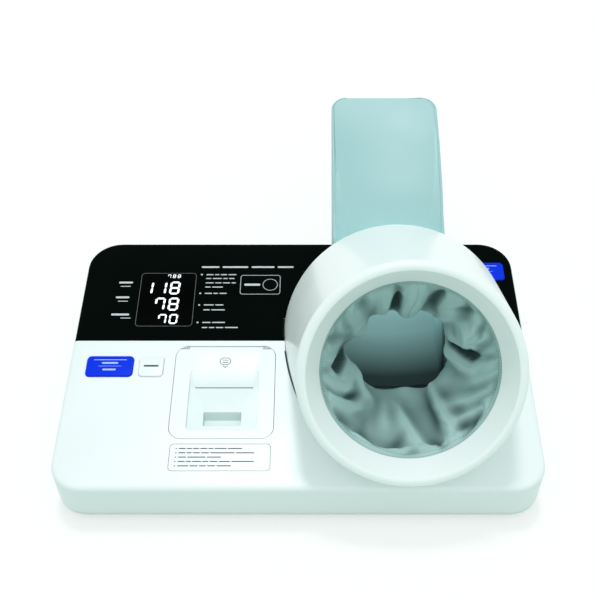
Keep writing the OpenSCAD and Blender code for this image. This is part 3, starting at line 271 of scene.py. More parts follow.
finishes = {
    "case_white": moulded("white case plastic", shade(241, 247, 248), shade(239, 246, 246), (0.3, 0.36)),
    "drum_white": moulded("glossy drum plastic", shade(249, 254, 253), shade(247, 253, 252), (0.28, 0.33),
                          1200, 0.000003, 0, Coat_Weight=0.12, Coat_Roughness=0.06),
    "base_grey": moulded("pale base plastic", shade(228, 238, 236), shade(225, 236, 233), (0.3, 0.36)),
    "key_blue": moulded("blue key plastic", shade(9, 56, 236), shade(8, 52, 228), (0.3, 0.38),
                        Specular_IOR_Level=0.04),
    "key_white": moulded("white key plastic", shade(240, 246, 247), shade(238, 245, 245), (0.28, 0.34)),
    "rest_teal": moulded("pale teal plastic", shade(167, 205, 207), shade(164, 203, 205), (0.36, 0.44),
                          grain=1500),
    "rubber_dark": moulded("foot rubber", shade(52, 55, 56), shade(40, 43, 44), (0.7, 0.85), 900, 0.00006),
    "plastic_light": moulded("light inner plastic", shade(222, 224, 220), shade(212, 214, 209), (0.4, 0.5)),
    "plastic_dark": moulded("black fitting plastic", shade(28, 29, 31), shade(20, 21, 23), (0.42, 0.55),
                             1400, 0.00004),
    "board_green": board("green circuit board", shade(26, 96, 58), shade(18, 74, 44)),
    "board_tan": board("tan circuit board", shade(176, 138, 88), shade(158, 120, 74)),
    "steel": metal("bright steel", shade(196, 200, 204), shade(172, 177, 182), (0.22, 0.36)),
    "zinc_steel": metal("zinc-plated steel", shade(186, 190, 186), shade(160, 166, 160), (0.34, 0.48),
                        (1, 1, 1)),
    "brass": metal("cut brass", shade(212, 176, 96), shade(190, 152, 74), (0.28, 0.4)),
    "pump_metal": metal("pump can", shade(178, 184, 190), shade(150, 156, 164), (0.3, 0.42), (1, 30, 1)),
    "paper": moulded("thermal paper", shade(250, 250, 246), shade(244, 244, 238), (0.6, 0.7),
                      1800, 0.00003, 0),
    "hose_ivory": moulded("soft air hose", shade(226, 220, 198), shade(214, 207, 184), (0.45, 0.55)),
    "bladder_grey": moulded("bladder rubber", shade(120, 128, 130), shade(104, 112, 115), (0.55, 0.7),
                             700, 0.00008),
    "spring_sheet": moulded("spring sheet", shade(232, 226, 196), shade(222, 214, 180), (0.3, 0.42)),
    "belt_dark": moulded("woven belt", shade(48, 50, 54), shade(34, 36, 40), (0.75, 0.9), 600, 0.0002),
    "speaker_grey": moulded("speaker cone", shade(88, 90, 94), shade(72, 74, 78), (0.6, 0.75), 900, 0.0001),
}


def black_gloss():
    """Black inlay under clear lacquer: near-black green, a breath of haze, faint orange peel."""
    f = Finish("black gloss inlay", shade(5, 10, 8), 0.08, Specular_IOR_Level=0.01)
    f.two_tone(f.between(f.cloudy(6), 0, 1), shade(3, 8, 6), shade(6, 12, 10)).uneven(40, 0.06, 0.1)
    return f.bumped(f.cloudy(500, 2), 0.000004).material


def smoked_window():
    """Smoked window over the display: a shade bluer and flatter than the inlay round it."""
    f = Finish("smoked window", shade(3, 4, 4), 0.08, Specular_IOR_Level=0.01)
    f.two_tone(f.between(f.cloudy(12), 0, 1), shade(2, 3, 3), shade(5, 7, 7))
    return f.uneven(30, 0.05, 0.08).material


def lit(name, colour, strength):
    """A lit segment or a bright print: its own colour, a little uneven, with some light of its own."""
    f = Finish(name, colour, 0.5, Emission_Color=colour, Emission_Strength=strength)
    darker = tuple(c * 0.93 for c in colour[:3]) + (1.0,)
    return f.two_tone(f.between(f.cloudy(180), 0, 1), colour, darker).material


def ink(name, colour, other):
    """Screen-printed ink: flat, slightly uneven and slightly raised at the grain."""
    f = Finish(name, colour, 0.5)
    return f.two_tone(f.between(f.cloudy(300), 0, 1), colour, other).bumped(f.cloudy(2500), 0.00001).material


def cup_teal():
    """The scoop's pale teal, with painted shade that darkens it towards the foot of its cup."""
    f = Finish("scoop plastic with painted shade", shade(167, 205, 207), 0.4)
    f.two_tone(f.between(f.cloudy(7, 1), 0, 1, 0.2, 0.8), shade(167, 205, 207), shade(164, 203, 205))
    f.uneven(18, 0.36, 0.44)
    back = f.add("ShaderNodeSeparateXYZ", {"Vector": f.where}).outputs["Y"]
    # painted shade: the base colour darkens towards the front, down at the cup's foot, where shade falls
    f.deepened(f.between(back, 1, 0, -0.036, 0.004), (0.04, 0.07, 0.07, 1))
    return f.bumped(f.cloudy(1500, 2), 0.00002).material


def cover_white_painted_shade():
    """White case plastic for the printer cover, with painted shade that makes it a shade deeper down in its
    dish and pocket.
    """
    f = Finish("cover plastic with painted shade", shade(241, 247, 248), 0.33)
    f.two_tone(f.between(f.cloudy(7, 1), 0, 1, 0.2, 0.8), shade(241, 247, 248), shade(239, 246, 246))
    f.uneven(18, 0.3, 0.36)
    part = f.add("ShaderNodeSeparateXYZ", {"Vector": f.where})
    slope = {0: part.outputs["Y"], 1: -math.tan(SLOPE)}
    rise = f.add("ShaderNodeMath", slope, operation="MULTIPLY").outputs[0]
    height = f.add("ShaderNodeMath", {0: part.outputs["Z"], 1: rise}, operation="ADD").outputs[0]
    top = (FRONT_H + MID_Y * math.tan(SLOPE)) / 1000
    # painted shade: darker the further a point lies below the cover's top face, in the dish and pocket
    f.deepened(f.between(height, 1, 0, top - 0.006, top - 0.0005), (0.82, 0.885, 0.875, 1))
    eased = f.add("ShaderNodeBevel", {"Radius": 0.0005}, samples=4).outputs["Normal"]
    return f.bumped(f.cloudy(2600, 2), 0.00002, eased).material


finishes["panel_black"] = black_gloss()
finishes["cover_white_painted_shade"] = cover_white_painted_shade()
finishes["cup_teal"] = cup_teal()
finishes["window_dark"] = smoked_window()
lit_white = lit("lit segments", shade(250, 252, 255), 0.75)
ink_white = ink("white ink", shade(206, 212, 214), shade(190, 197, 200))
ink_pale_blue = ink("pale blue ink", shade(176, 198, 250), shade(160, 186, 246))
ink_grey = ink("grey ink", shade(92, 100, 103), shade(82, 90, 93))
ink_dim = ink("dim grey ink", shade(84, 88, 90), shade(70, 74, 77))
ink_dark = ink("dark grey ink", shade(70, 76, 80), shade(58, 64, 68))


def woven_teal():
    """Woven cuff cloth on its own UV map, one unit a metre: crossed threads, drifting tone, a soft sheen,
    and painted shade in its creases and inner half, read from the mesh's own hollow attribute."""
    f = Finish("cuff weave", shade(150, 180, 178), 0.85, Sheen_Weight=0.25, Sheen_Roughness=0.5)
    f.set(f.shader, {"Sheen Tint": shade(214, 236, 234), "Specular IOR Level": 0.25})
    cloth = f.add("ShaderNodeUVMap", uv_map="cloth").outputs["UV"]
    waves = []
    for way in ("X", "Y"):
        values = {"Vector": cloth, "Scale": 260.0, "Distortion": 0.6, "Detail": 1.0, "Detail Scale": 2.0}
        waves.append(f.add("ShaderNodeTexWave", values, bands_direction=way).outputs["Fac"])
    weave = f.add("ShaderNodeMath", {0: waves[0], 1: waves[1]}, operation="MAXIMUM").outputs[0]
    fuzz = f.cloudy(900, 3, cloth)
    threads = f.add("ShaderNodeMath", {0: weave, 1: fuzz}, operation="ADD").outputs[0]
    f.two_tone(f.between(f.cloudy(24, 5), 0, 1, 0.3, 0.7), shade(170, 202, 200), shade(182, 211, 209))
    # painted shade: the hollow attribute darkens the cloth in its creases and towards its inner half
    f.deepened(f.add("ShaderNodeAttribute", attribute_name="hollow").outputs["Fac"], (0.07, 0.12, 0.12, 1))
    return f.bumped(threads, 0.0001).material


finishes["cloth_teal"] = woven_teal()
thread = ink("seam thread", shade(58, 84, 82), shade(76, 104, 101))

# ---------- the frame's own nodes ----------

finish_of = {
    "case_white": ["top_case", "notice_plate"],
    "cover_white_painted_shade": ["printer_cover"],
    "drum_white": ["drum_shell", "drum_bezel"],
    "base_grey": ["bottom_case"],
    "panel_black": ["display_panel", "display_module"],
    "window_dark": ["display_window"],
    "key_blue": ["start_key", "rear_key"],
    "key_white": ["clear_key"],
    "rest_teal": ["arm_rest", "arm_rest_back"],
    "rubber_dark": ["rubber_feet", "pump_mounts", "platen_roller"],
    "plastic_light": ["printer_frame", "air_valve", "paper_spindle", "pivot_bushes", "cuff_frame",
                      "rear_ring"],
    "plastic_dark": ["mains_inlet", "switch_frame", "mains_rocker", "print_head", "pressure_sensor",
                     "key_switches"],
    "board_green": ["main_board", "key_board"],
    "board_tan": ["power_supply"],
    "steel": ["case_screws", "cover_pin", "trunnion_pins", "gear_axle", "data_port", "printer_motor",
              "wrap_motor"],
    "zinc_steel": ["left_pivot_bracket", "right_pivot_bracket"],
    "brass": ["motor_pinion", "wrap_gear"],
    "pump_metal": ["air_pump"],
    "paper": ["paper_roll"],
    "hose_ivory": ["air_hose"],
    "bladder_grey": ["air_bladder"],
    "spring_sheet": ["curler"],
    "belt_dark": ["wrap_belt"],
    "speaker_grey": ["speaker"],
    "cloth_teal": ["cuff_cloth"],
}


def soft_shading():
    """Joins a node's loose triangles and smooths its shading across every bend under 32 degrees."""
    group = bpy.data.node_groups.new("soft shading", "GeometryNodeTree")
    group.interface.new_socket("Geometry", in_out="INPUT", socket_type="NodeSocketGeometry")
    group.interface.new_socket("Geometry", in_out="OUTPUT", socket_type="NodeSocketGeometry")
    group.is_modifier = True
    new, link = group.nodes.new, group.links.new
    came, gone = new("NodeGroupInput"), new("NodeGroupOutput")
    merge = new("GeometryNodeMergeByDistance")
    merge.inputs["Distance"].default_value = 0.000002
    plain = new("GeometryNodeRemoveAttribute")
    plain.inputs["Name"].default_value = "custom_normal"
    faces, edges = new("GeometryNodeSetShadeSmooth"), new("GeometryNodeSetShadeSmooth")
    edges.domain = "EDGE"
    angle, sharp = new("GeometryNodeInputMeshEdgeAngle"), new("FunctionNodeCompare")
    sharp.operation = "GREATER_THAN"
    sharp.inputs[1].default_value = math.radians(32)
    link(came.outputs[0], plain.inputs["Geometry"])
    link(plain.outputs[0], merge.inputs["Geometry"])
    link(merge.outputs[0], faces.inputs["Geometry"])
    link(faces.outputs[0], edges.inputs["Geometry"])
    link(angle.outputs["Unsigned Angle"], sharp.inputs[0])
    link(sharp.outputs[0], edges.inputs["Selection"])
    edges.inputs["Shade Smooth"].default_value = False
    link(edges.outputs[0], gone.inputs[0])
    return group


smoothing = soft_shading()
for finish_name, names in finish_of.items():
    for node_name in names:
        obj = nodes[node_name]
        obj.data.materials.clear()
        obj.data.materials.append(finishes[finish_name])
        obj.modifiers.new("soft shading", "NODES").node_group = smoothing


# ---------- forearm scoop ----------

def scoop_line(y):
    """Height of the scoop's straight rise, which both its rim and its floor start from."""
    return FRONT_H + 103 + (y - 274) * math.tan(math.radians(21.9))


def scoop_rim(y):
    """Height of the scoop's rim: a straight rise, kept under the planes that the drum's rear edge sweeps."""
    pivot_y, pivot_z, gap = 177.478, 64.215, 165 - 152 - 11 * math.sin(DRUM_TILT) + 1.7
    swept = [pivot_z + ((y - pivot_y) * math.cos(a) - gap) / math.sin(a)
             for a in (DRUM_TILT, DRUM_TILT + math.radians(7))]
    return np.minimum(scoop_line(y), np.minimum(*swept))


def scoop_floor(y):
    """Height of the scoop's floor: the rim's line less a cup that fades out past the bend."""
    return scoop_line(y) - 95 / (1 + np.exp((y - 245) / 18)) - 0.6


def forearm_scoop():
    """The trough across (rolled lip, wall, hollow floor, wall, rolled lip, underside) carried back along y;
    its half width closes in on a round corner at the tip, and the floor's hollow fades out there."""
    front, corner = 163.878, REST_TIP_Y - REST_CORNER_R
    round_tip = corner + REST_CORNER_R * np.sin(np.radians(np.linspace(4, 89, 20)))
    y = np.concatenate([np.linspace(front, corner, 110), round_tip])
    floor, half_w = scoop_floor(y), REST_W / 2
    sag = 8 * np.minimum(1, (REST_TIP_Y - y) / 60)
    rim = np.maximum(scoop_rim(y), floor + sag + 0.5)
    past = np.clip(y - corner, 0, None)
    closed_in = half_w - REST_CORNER_R + np.sqrt(np.clip(REST_CORNER_R ** 2 - past ** 2, 0, None))
    keep = np.where(y < corner, 1, closed_in / half_w)
    half_floor = half_w - 3 - 12 * np.exp(-((y - 265) / 55) ** 2)
    roll = np.radians(np.linspace(180, 0, 9))
    across = np.linspace(-1, 1, 41)
    lip_r = 1.5
    rows = []
    for side in (-1, 1):
        lip_x = side * (half_w - lip_r) + side * lip_r * -np.cos(roll[::side])[None, :] * side
        lip_z = (rim - lip_r)[:, None] + lip_r * np.sin(roll)[None, :]
        rows.append((np.broadcast_to(lip_x, lip_z.shape), lip_z))
    hollow_x = half_floor[:, None] * across[None, :]
    hollow_z = floor[:, None] + sag[:, None] * across[None, :] ** 2
    under_z = (floor - 3)[:, None]
    left_x, left_z = rows[0]
    right_x, right_z = rows[1]
    under_x = np.full_like(under_z, half_w)
    x = np.concatenate([-under_x, left_x, hollow_x, right_x, under_x], 1)
    z = np.concatenate([under_z, left_z, hollow_z, right_z, under_z], 1)
    points = on_bench(REST_X + x * keep[:, None], y[:, None], z)
    m, n = points.shape[:2]
    faces = grid_faces(m, n, round_columns=True).tolist()
    return points, faces + [list(range(n)), list(range((m - 1) * n, m * n))[::-1]]


scoop = piece("forearm_scoop", *forearm_scoop(), finishes["cup_teal"], "console", "rest_teal")
scoop.modifiers.new("soft shading", "NODES").node_group = smoothing
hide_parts("arm_rest")


# ---------- drum ----------

RIM_R, REAR_R, DRUM_LEN, NOSE_R, SHELL_FROM, FUNNEL_T = 106.4, 121, 165, 6.4, 6, 2.6


def cone_r(back):
    """Radius of the drum's cone at a distance behind the rim."""
    return RIM_R + (REAR_R - RIM_R) / DRUM_LEN * back


def funnel_ring():
    """The front ring turned about the drum's axis: outer wall, round nose, funnel down to the opening,
    and back inside."""
    nose_mid, a = RIM_R - NOSE_R, np.radians(np.linspace(0, -115, 28))
    nose = np.stack([nose_mid + NOSE_R * np.cos(a), NOSE_R * np.sin(a)], -1)
    funnel = np.linspace(nose[-1], [OPENING_R, OPENING_BACK], 10)[1:]
    section = np.concatenate([[[cone_r(SHELL_FROM) + 0.1, SHELL_FROM]], nose, funnel, [
        [OPENING_R, OPENING_BACK + 7], [OPENING_R + 3.6, OPENING_BACK + 7],
        [OPENING_R + 3.6, OPENING_BACK + 1.5],
        [nose_mid + 1, -NOSE_R + FUNNEL_T + 1], [RIM_R - FUNNEL_T, 0], [RIM_R - FUNNEL_T, SHELL_FROM]]])
    turn = np.radians(np.linspace(0, 360, 256, endpoint=False))
    r, back = section[:, :1], section[:, 1:]
    points = in_drum(r * np.cos(turn), r * np.sin(turn), np.broadcast_to(back, (len(section), 256)))
    return points, grid_faces(len(section), 256, True, True).tolist()


def drum_skin():
    """The drum's outer face: a thin shell on the cone, carried round from just below the console's top
    on one side, over the crown, to the same place on the other side."""
    back = np.concatenate([np.linspace(SHELL_FROM, DRUM_LEN, 40), np.linspace(DRUM_LEN, SHELL_FROM, 40)])
    r = cone_r(back) + np.repeat([0.12, -0.6], 40)
    level = math.cos(DRUM_TILT) - math.sin(DRUM_TILT) * math.tan(SLOPE)
    fall = math.sin(DRUM_TILT) + math.cos(DRUM_TILT) * math.tan(SLOPE)
    dip = (RIM_Z - FRONT_H - RIM_Y * math.tan(SLOPE)) / level - fall / level * back
    below_top = 5
    low = -np.arcsin(np.clip((dip + below_top) / r, -1, 1))
    share = np.linspace(0, 1, 180)[None, :]
    turn = low[:, None] + (math.pi - 2 * low[:, None]) * share
    r, back = r[:, None], np.broadcast_to(back[:, None], turn.shape)
    points = in_drum(r * np.cos(turn), r * np.sin(turn), back)
    n = 180
    faces = grid_faces(80, n, round_rows=True).tolist()
    return points, faces + [[i * n for i in range(80)][::-1], [i * n + n - 1 for i in range(80)]]


ring = piece("drum_front_ring", *funnel_ring(), finishes["drum_white"], "cuff_drum", "case_white")
ring.modifiers.new("soft shading", "NODES").node_group = smoothing
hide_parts("drum_bezel")
skin = piece("drum_outer_face", *drum_skin(), finishes["drum_white"], "cuff_drum", "case_white")
skin.modifiers.new("soft shading", "NODES").node_group = smoothing

# ---------- cuff cloth ----------

CLOTH_FROM, CLOTH_TO = OPENING_BACK + 0.4, 139.7
CLOTH_TURN, CLOTH_RUNS = 240, 81
HELD_RUNS = 4
MAIN_FOLDS = np.array([[166, 16, 12], [128, 9, 14], [105, 4, 10], [86, -0.5, 9], [66, 8, 10], [44, 11, 13],
                       [15, -3, 14], [-30, -5, 18], [-88, -16, 36], [-155, 2, 14], [-176, 6, 10]], float)
# Creases of the lining: how far each stands in and its reach to either side, in millimetres, and the way
# it runs, as turns round the opening in degrees (0 right, 90 up) with shares of the length from the mouth
CREASES = [
    (-16, 4, 4, [(172, 0.56), (174, 0.44), (178, 0.34), (183, 0.25)]),
    (-4, 2.5, 3, [(180, 0.34), (181, 0.2), (183, 0.05)]),
    (5, 8, 5, [(160, 0.5), (164, 0.36), (168, 0.22), (170, 0.08)]),
    (6, 3, 8, [(186, 0.54), (190, 0.47), (207, 0.42), (228, 0.36)]),
    (4, 3, 8, [(192, 0.4), (198, 0.32), (202, 0.24), (208, 0.12)]),
    (-16, 4, 4, [(26, 0.52), (18, 0.4), (10, 0.32), (7, 0.25)]),
    (-4, 2.5, 3, [(9, 0.3), (6, 0.2), (7, 0.13), (10, 0.04)]),
    (6, 4, 6, [(16, 0.54), (4, 0.42), (-3, 0.3), (-3, 0.18)]),
    (7, 4, 7, [(52, 0.42), (42, 0.3), (33, 0.25), (23, 0.25), (13, 0.26)]),
    (-15, 4, 4, [(98, 0.24), (101, 0.32), (103, 0.4), (105, 0.5)]),
    (-3, 2.5, 3, [(101, 0.04), (98, 0.12), (99, 0.24), (102, 0.34)]),
    (3, 9, 8, [(84, 0.05), (84, 0.2), (87, 0.35), (90, 0.48)]),
    (-6, 4, 4, [(64, 0.08), (69, 0.2), (72, 0.33), (73, 0.46)]),
    (0.8, 1.2, 1.2, [(86, 0.02), (84, 0.2), (88, 0.3), (89, 0.44)]),
    (8, 10, 2.5, [(-47, 0.52), (-53, 0.36), (-56, 0.21), (-58, 0.12), (-61, 0.02)]),
    (5, 2.5, 10, [(-100, 0.34), (-90, 0.27), (-82, 0.19), (-77, 0.12), (-72, 0.01)]),
    (-4, 3, 3, [(-54, 0.03), (-45, 0.05), (-37, 0.08), (-31, 0.13)]),
    (-3, 3, 3, [(-128, 0.22), (-122, 0.12), (-114, 0.08), (-106, 0.09), (-98, 0.14), (-91, 0.22)]),
    (3, 4, 4, [(-138, 0.16), (-126, 0.06), (-110, 0.035), (-97, 0.07), (-86, 0.14)]),
    (3, 4, 4, [(-62, 0.16), (-50, 0.19), (-40, 0.17), (-31, 0.11)]),
    (4, 5, 5, [(-48, 0.3), (-34, 0.24), (-22, 0.16), (-16, 0.08)]),
    (-3, 4, 4, [(-40, 0.26), (-28, 0.2), (-18, 0.11)]),
    (-2, 6, 6, [(150, 0.08), (146, 0.26), (149, 0.44)]),
    (-2.5, 6, 7, [(130, 0.06), (125, 0.22), (120, 0.42)]),
    (2, 6, 6, [(116, 0.1), (112, 0.25), (113, 0.4)]),
    (-3, 4, 4, [(60, 0.34), (50, 0.22), (44, 0.12), (41, 0.05)]),
    (-3, 3, 4, [(34, 0.05), (29, 0.14), (21, 0.2)]),
    (2.5, 5, 5, [(-4, 0.14), (-16, 0.1), (-28, 0.05)]),
    (-2.5, 5, 5, [(-150, 0.3), (-158, 0.2), (-164, 0.1)]),
    (3, 5, 5, [(-140, 0.34), (-146, 0.22), (-152, 0.08)]),
    (2.5, 6, 6, [(-118, 0.36), (-112, 0.26), (-104, 0.2)]),
]


def turn_gap(a, b):
    """Smallest turn from b to a, in degrees, with its sign."""
    return (a - b + 540) % 360 - 180


def lining():
    """The cloth tube: at each share s of its length it goes from the mouth in to the throat and out to the
    rear ring, and the throat's radius is a plain one plus a bell curve for each main fold."""
    a = np.linspace(0, 360, CLOTH_TURN, endpoint=False)[None, :]
    s = np.linspace(0, 1, CLOTH_RUNS)[:, None]
    throat = 44 + sum(out * np.exp(-(turn_gap(a, at) / wide) ** 2) for at, out, wide in MAIN_FOLDS)
    drawn = np.where(s < 0.5, np.sin(math.pi * s) ** 2, np.cos(math.pi * (s - 0.5)) ** 2)
    edge = np.where(s < 0.5, OPENING_R - 0.25 - 1.25 * np.clip(s / 0.03, 0, 1), 67)
    r = edge + (throat - edge) * drawn
    a, s = np.broadcast_arrays(a, s)
    return a, s, r


def crease(a, s, stands_in, left, right, way):
    """Height of one crease: a bell curve of the distance from the way it runs, with a reach for either side,
    which fades at both ends; distances are taken on the cloth laid flat."""
    way = np.array(way, float)
    steps = np.linspace(0, len(way) - 1, 40)
    turn, share = (np.interp(steps, np.arange(len(way)), way[:, k]) for k in (0, 1))
    ease = np.ones(7) / 7
    turn[3:-3], share[3:-3] = np.convolve(turn, ease, "valid"), np.convolve(share, ease, "valid")
    across = turn_gap(a[..., None], turn) * 1.13
    along = (s[..., None] - share) * 125
    away = np.hypot(across, along)
    near = away.argmin(-1)
    ahead_turn, ahead_share = np.gradient(turn) * 1.13, np.gradient(share) * 125
    dx, dy = (np.take_along_axis(d, near[..., None], -1)[..., 0] for d in (across, along))
    side = ahead_turn[near] * dy - ahead_share[near] * dx
    reach = np.where(side > 0, left, right)
    fade = np.sin(np.pi * np.clip((near + 3) / 45, 0, 1)) ** 0.6
    return stands_in * fade * np.exp(-(away.min(-1) / reach) ** 2)


def creased_lining():
    """The lining's points with every crease pushed in along the cloth's facing, and that facing."""
    a, s, r = lining()

    def place(turn, radius, share):
        turn, back = np.radians(turn), CLOTH_FROM + (CLOTH_TO - CLOTH_FROM) * share
        return in_drum(radius * np.cos(turn), radius * np.sin(turn), back)

    points = place(a, r, s)
    round_it = np.roll(points, -1, 1) - np.roll(points, 1, 1)
    facing = np.cross(np.gradient(points, axis=0), round_it)
    facing /= np.linalg.norm(facing, axis=-1, keepdims=True)
    inward = place(a, r - 1, s) - points
    facing *= np.sign((facing * inward).sum(-1, keepdims=True))
    height = sum(crease(a, s, *c) for c in CREASES)
    reach = np.where(height < 0, 0.16, 0.05)
    held = np.clip(s / reach, 0, 1) * np.clip((1 - s) / 0.05, 0, 1)
    return points + facing * (height * held / 1000)[..., None], facing


cloth_points, cloth_facing = creased_lining()
cloth_faces = grid_faces(CLOTH_RUNS, CLOTH_TURN, round_columns=True)
cuff = piece("cuff_lining", cloth_points, cloth_faces.tolist(), finishes["cloth_teal"], "cuff_drum",
             "cloth_teal")
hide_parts("cuff_cloth")


def settle(obj, frames, most):
    """Lets the cloth, cut a little too large, find its own small creases between its held edges,
    then keeps the result, no point further than most from where it was."""
    before = np.zeros(len(obj.data.vertices) * 3, np.float32)
    obj.data.vertices.foreach_get("co", before)
    before = before.reshape(-1, 3)
    held = obj.vertex_groups.new(name="held")
    run = np.arange(len(before)) // CLOTH_TURN
    held.add(np.where((run < HELD_RUNS) | (run >= CLOTH_RUNS - 3))[0].tolist(), 1.0, "REPLACE")
    cloth = obj.modifiers.new("settling", "CLOTH")
    cloth.settings.vertex_group_mass = "held"
    cloth.settings.quality = 5
    cloth.settings.mass = 0.1
    cloth.settings.tension_stiffness = cloth.settings.compression_stiffness = 12
    cloth.settings.shear_stiffness = 4
    cloth.settings.bending_stiffness = 0.05
    cloth.settings.shrink_min = -0.07
    cloth.settings.effector_weights.gravity = 0.15
    cloth.collision_settings.use_collision = False
    for number in range(1, frames + 1):
        bpy.context.scene.frame_set(number)
    after = np.zeros(len(before) * 3, np.float32)
    fallen = obj.evaluated_get(bpy.context.evaluated_depsgraph_get()).data
    fallen.vertices.foreach_get("co", after)
    obj.modifiers.remove(cloth)
    obj.vertex_groups.remove(held)
    bpy.context.scene.frame_set(1)
    moved = after.reshape(-1, 3) - before
    far = np.linalg.norm(moved, axis=1, keepdims=True)
    print("cloth moved, mm: mean %.2f, most %.2f" % (far.mean() * 1000, far.max() * 1000))
    moved *= np.minimum(1, most / np.maximum(far, 1e-9))
    obj.data.vertices.foreach_set("co", (before + moved).astype(np.float32).ravel())
    obj.data.update()
    return (before + moved).reshape(CLOTH_RUNS, CLOTH_TURN, 3)


cloth_at = settle(cuff, 14, 0.006)


def cloth_map(obj):
    """UV map of the cloth, one unit a metre: round the tube and along it."""
    corner = np.zeros(len(obj.data.loops), np.int32)
    obj.data.loops.foreach_get("vertex_index", corner)
    along, round_it = corner // CLOTH_TURN, corner % CLOTH_TURN
    first = np.repeat(round_it.reshape(-1, 4).max(1), 4)
    round_it = np.where((round_it == 0) & (first == CLOTH_TURN - 1), CLOTH_TURN, round_it)
    uv = np.stack([round_it / CLOTH_TURN * 0.42, along / (CLOTH_RUNS - 1) * 0.16], -1)
    obj.data.uv_layers.new(name="cloth").data.foreach_set("uv", uv.astype(np.float32).ravel())


cloth_map(cuff)


def paint_cloth_shade(obj):
    """Marks how much painted shade each point gets, from 0 to 1: painted shade in the creases, by how deep
    the point lies under the cloth round it, plus a painted shadow towards the inner half of the cloth, which
    is stronger in its lower part."""
    def eased(grid, times):
        for _ in range(times):
            grid = (np.roll(grid, 1, 1) + np.roll(grid, -1, 1) + 2 * grid) / 4
            grid = np.concatenate([grid[:1], (grid[:-2] + grid[2:] + 2 * grid[1:-1]) / 4, grid[-1:]])
        return grid

    # painted shade in the creases: how far each point lies under its smoothed surroundings
    under = ((eased(cloth_at, 45) - eased(cloth_at, 3)) * cloth_facing).sum(-1) * 1000
    share = np.linspace(0, 1, CLOTH_RUNS)[:, None]
    low = 0.5 - 0.5 * np.sin(np.radians(np.linspace(0, 360, CLOTH_TURN, endpoint=False)))[None, :]
    # painted shadow over the inner half of the cloth, stronger in its lower part
    inside = np.clip((share - 0.3 + 0.13 * low) / 0.14, 0, 1) * (0.25 + 0.4 * low)
    deep = np.clip((under - 0.3) / 3.2 + inside, 0, 1)
    marks = obj.data.attributes.new("hollow", "FLOAT", "POINT")
    marks.data.foreach_set("value", deep.astype(np.float32).ravel())


paint_cloth_shade(cuff)
finer = cuff.modifiers.new("finer cloth", "SUBSURF")
finer.levels = finer.render_levels = 1


def on_cloth(turn, run):
    """A point of the settled cloth and its facing, read between the grid's points."""
    j, i = (turn % 360) / 360 * CLOTH_TURN, np.clip(run, 0, CLOTH_RUNS - 2)
    j0, i0 = int(j), int(i)
    j1, fj, fi = (j0 + 1) % CLOTH_TURN, j - j0, i - i0
    mix = lambda grid: ((grid[i0, j0] * (1 - fj) + grid[i0, j1] * fj) * (1 - fi)
                        + (grid[i0 + 1, j0] * (1 - fj) + grid[i0 + 1, j1] * fj) * fi)
    return mix(cloth_at), mix(cloth_facing)


def stitches(ways, length, thick):
    """A row of stitches along each way over the cloth: each is a six-sided bar with drawn-in ends."""
    parts = []
    ends = np.array([[-0.5, 0.35], [-0.3, 1], [0.3, 1], [0.5, 0.35]])
    ring = np.radians(np.arange(0, 360, 60))
    for way in ways:
        for here, there in zip(way[:-1:2], way[1::2]):
            (p, facing), (q, _) = on_cloth(*here), on_cloth(*there)
            along = (q - p) / np.linalg.norm(q - p)
            side = np.cross(along, facing)
            middle = (p + q) / 2 + facing * 0.0002
            about = side * np.cos(ring)[:, None] + facing * np.sin(ring)[:, None]
            points = [middle + along * e * length + about * w * thick for e, w in ends]
            faces = grid_faces(4, 6, round_columns=True).tolist()
            parts.append((np.stack(points), faces + [list(range(6))[::-1], list(range(18, 24))]))
    return joined(parts)


rim_way = [(a, 2.6) for a in np.arange(0, 360, 1.0)]
seam_turn = np.interp(np.linspace(0, 3, 26), [0, 1, 2, 3], [86, 84, 88, 89])
seam_run = np.interp(np.linspace(0, 3, 26), [0, 1, 2, 3], [3, 16, 24, 33])
seam_way = list(zip(seam_turn, seam_run))
piece("cuff_stitches", *stitches([rim_way, seam_way], 0.0011, 0.00022), thread, "cuff_drum", "cloth_teal")


# ---------- display ----------

SEGMENTS = {"0": "abcdef", "1": "bc", "7": "abcf", "8": "abcdefg", "2": "abdeg"}


def digit(mark, x, t, w, l, low, high):
    """A seven-segment digit from its lower left corner: each lit segment is a six-sided bar."""
    bar, gap, lean = w * 0.2, w * 0.03, 0.06
    ends = {"a": ((0, 2), (1, 2)), "b": ((1, 2), (1, 1)), "c": ((1, 1), (1, 0)), "d": ((0, 0), (1, 0)),
            "e": ((0, 1), (0, 0)), "f": ((0, 2), (0, 1)), "g": ((0, 1), (1, 1))}
    parts = []
    for s in SEGMENTS[mark]:
        p, q = (np.array([e[0] * (w - bar) + bar / 2, e[1] * (l - bar) / 2 + bar / 2]) for e in ends[s])
        along = (q - p) / np.linalg.norm(q - p)
        side = np.array([-along[1], along[0]]) * bar / 2
        p, q = p + along * gap, q - along * gap
        ring = np.array([p, p + side + along * bar / 2, q + side - along * bar / 2, q,
                         q - side - along * bar / 2, p - side + along * bar / 2])[::-1]
        if ring_area(ring) < 0:
            ring = ring[::-1]
        ring[:, 0] += ring[:, 1] * lean
        parts.append(inked_plate(ring + [x, t], low, high))
    return parts


def ring_area(ring):
    """Twice the signed area inside an outline: more than nothing if it goes left about."""
    x, y = ring[:, 0], ring[:, 1]
    return float((x * np.roll(y, -1) - y * np.roll(x, -1)).sum())


def display_digits():
    """Three readings and a row of small marks on the window, set to the right."""
    parts = []
    readings = [("118", -133.6, 238.2, 11.2, 18.2), ("78", -133.2, 215.7, 11.2, 17.8),
                ("70", -132.4, 197.4, 9.2, 13.4)]
    for reading, right, t, w, l in readings:
        for i, mark in enumerate(reading[::-1]):
            parts += digit(mark, right - w - i * w * 1.32, t, w, l, -0.02, 0.05)
    for i, mark in enumerate("887"):
        parts += digit(mark, -137 - i * 5.4, 261.6, 3.4, 5.1, -0.02, 0.05)
    return joined(parts)


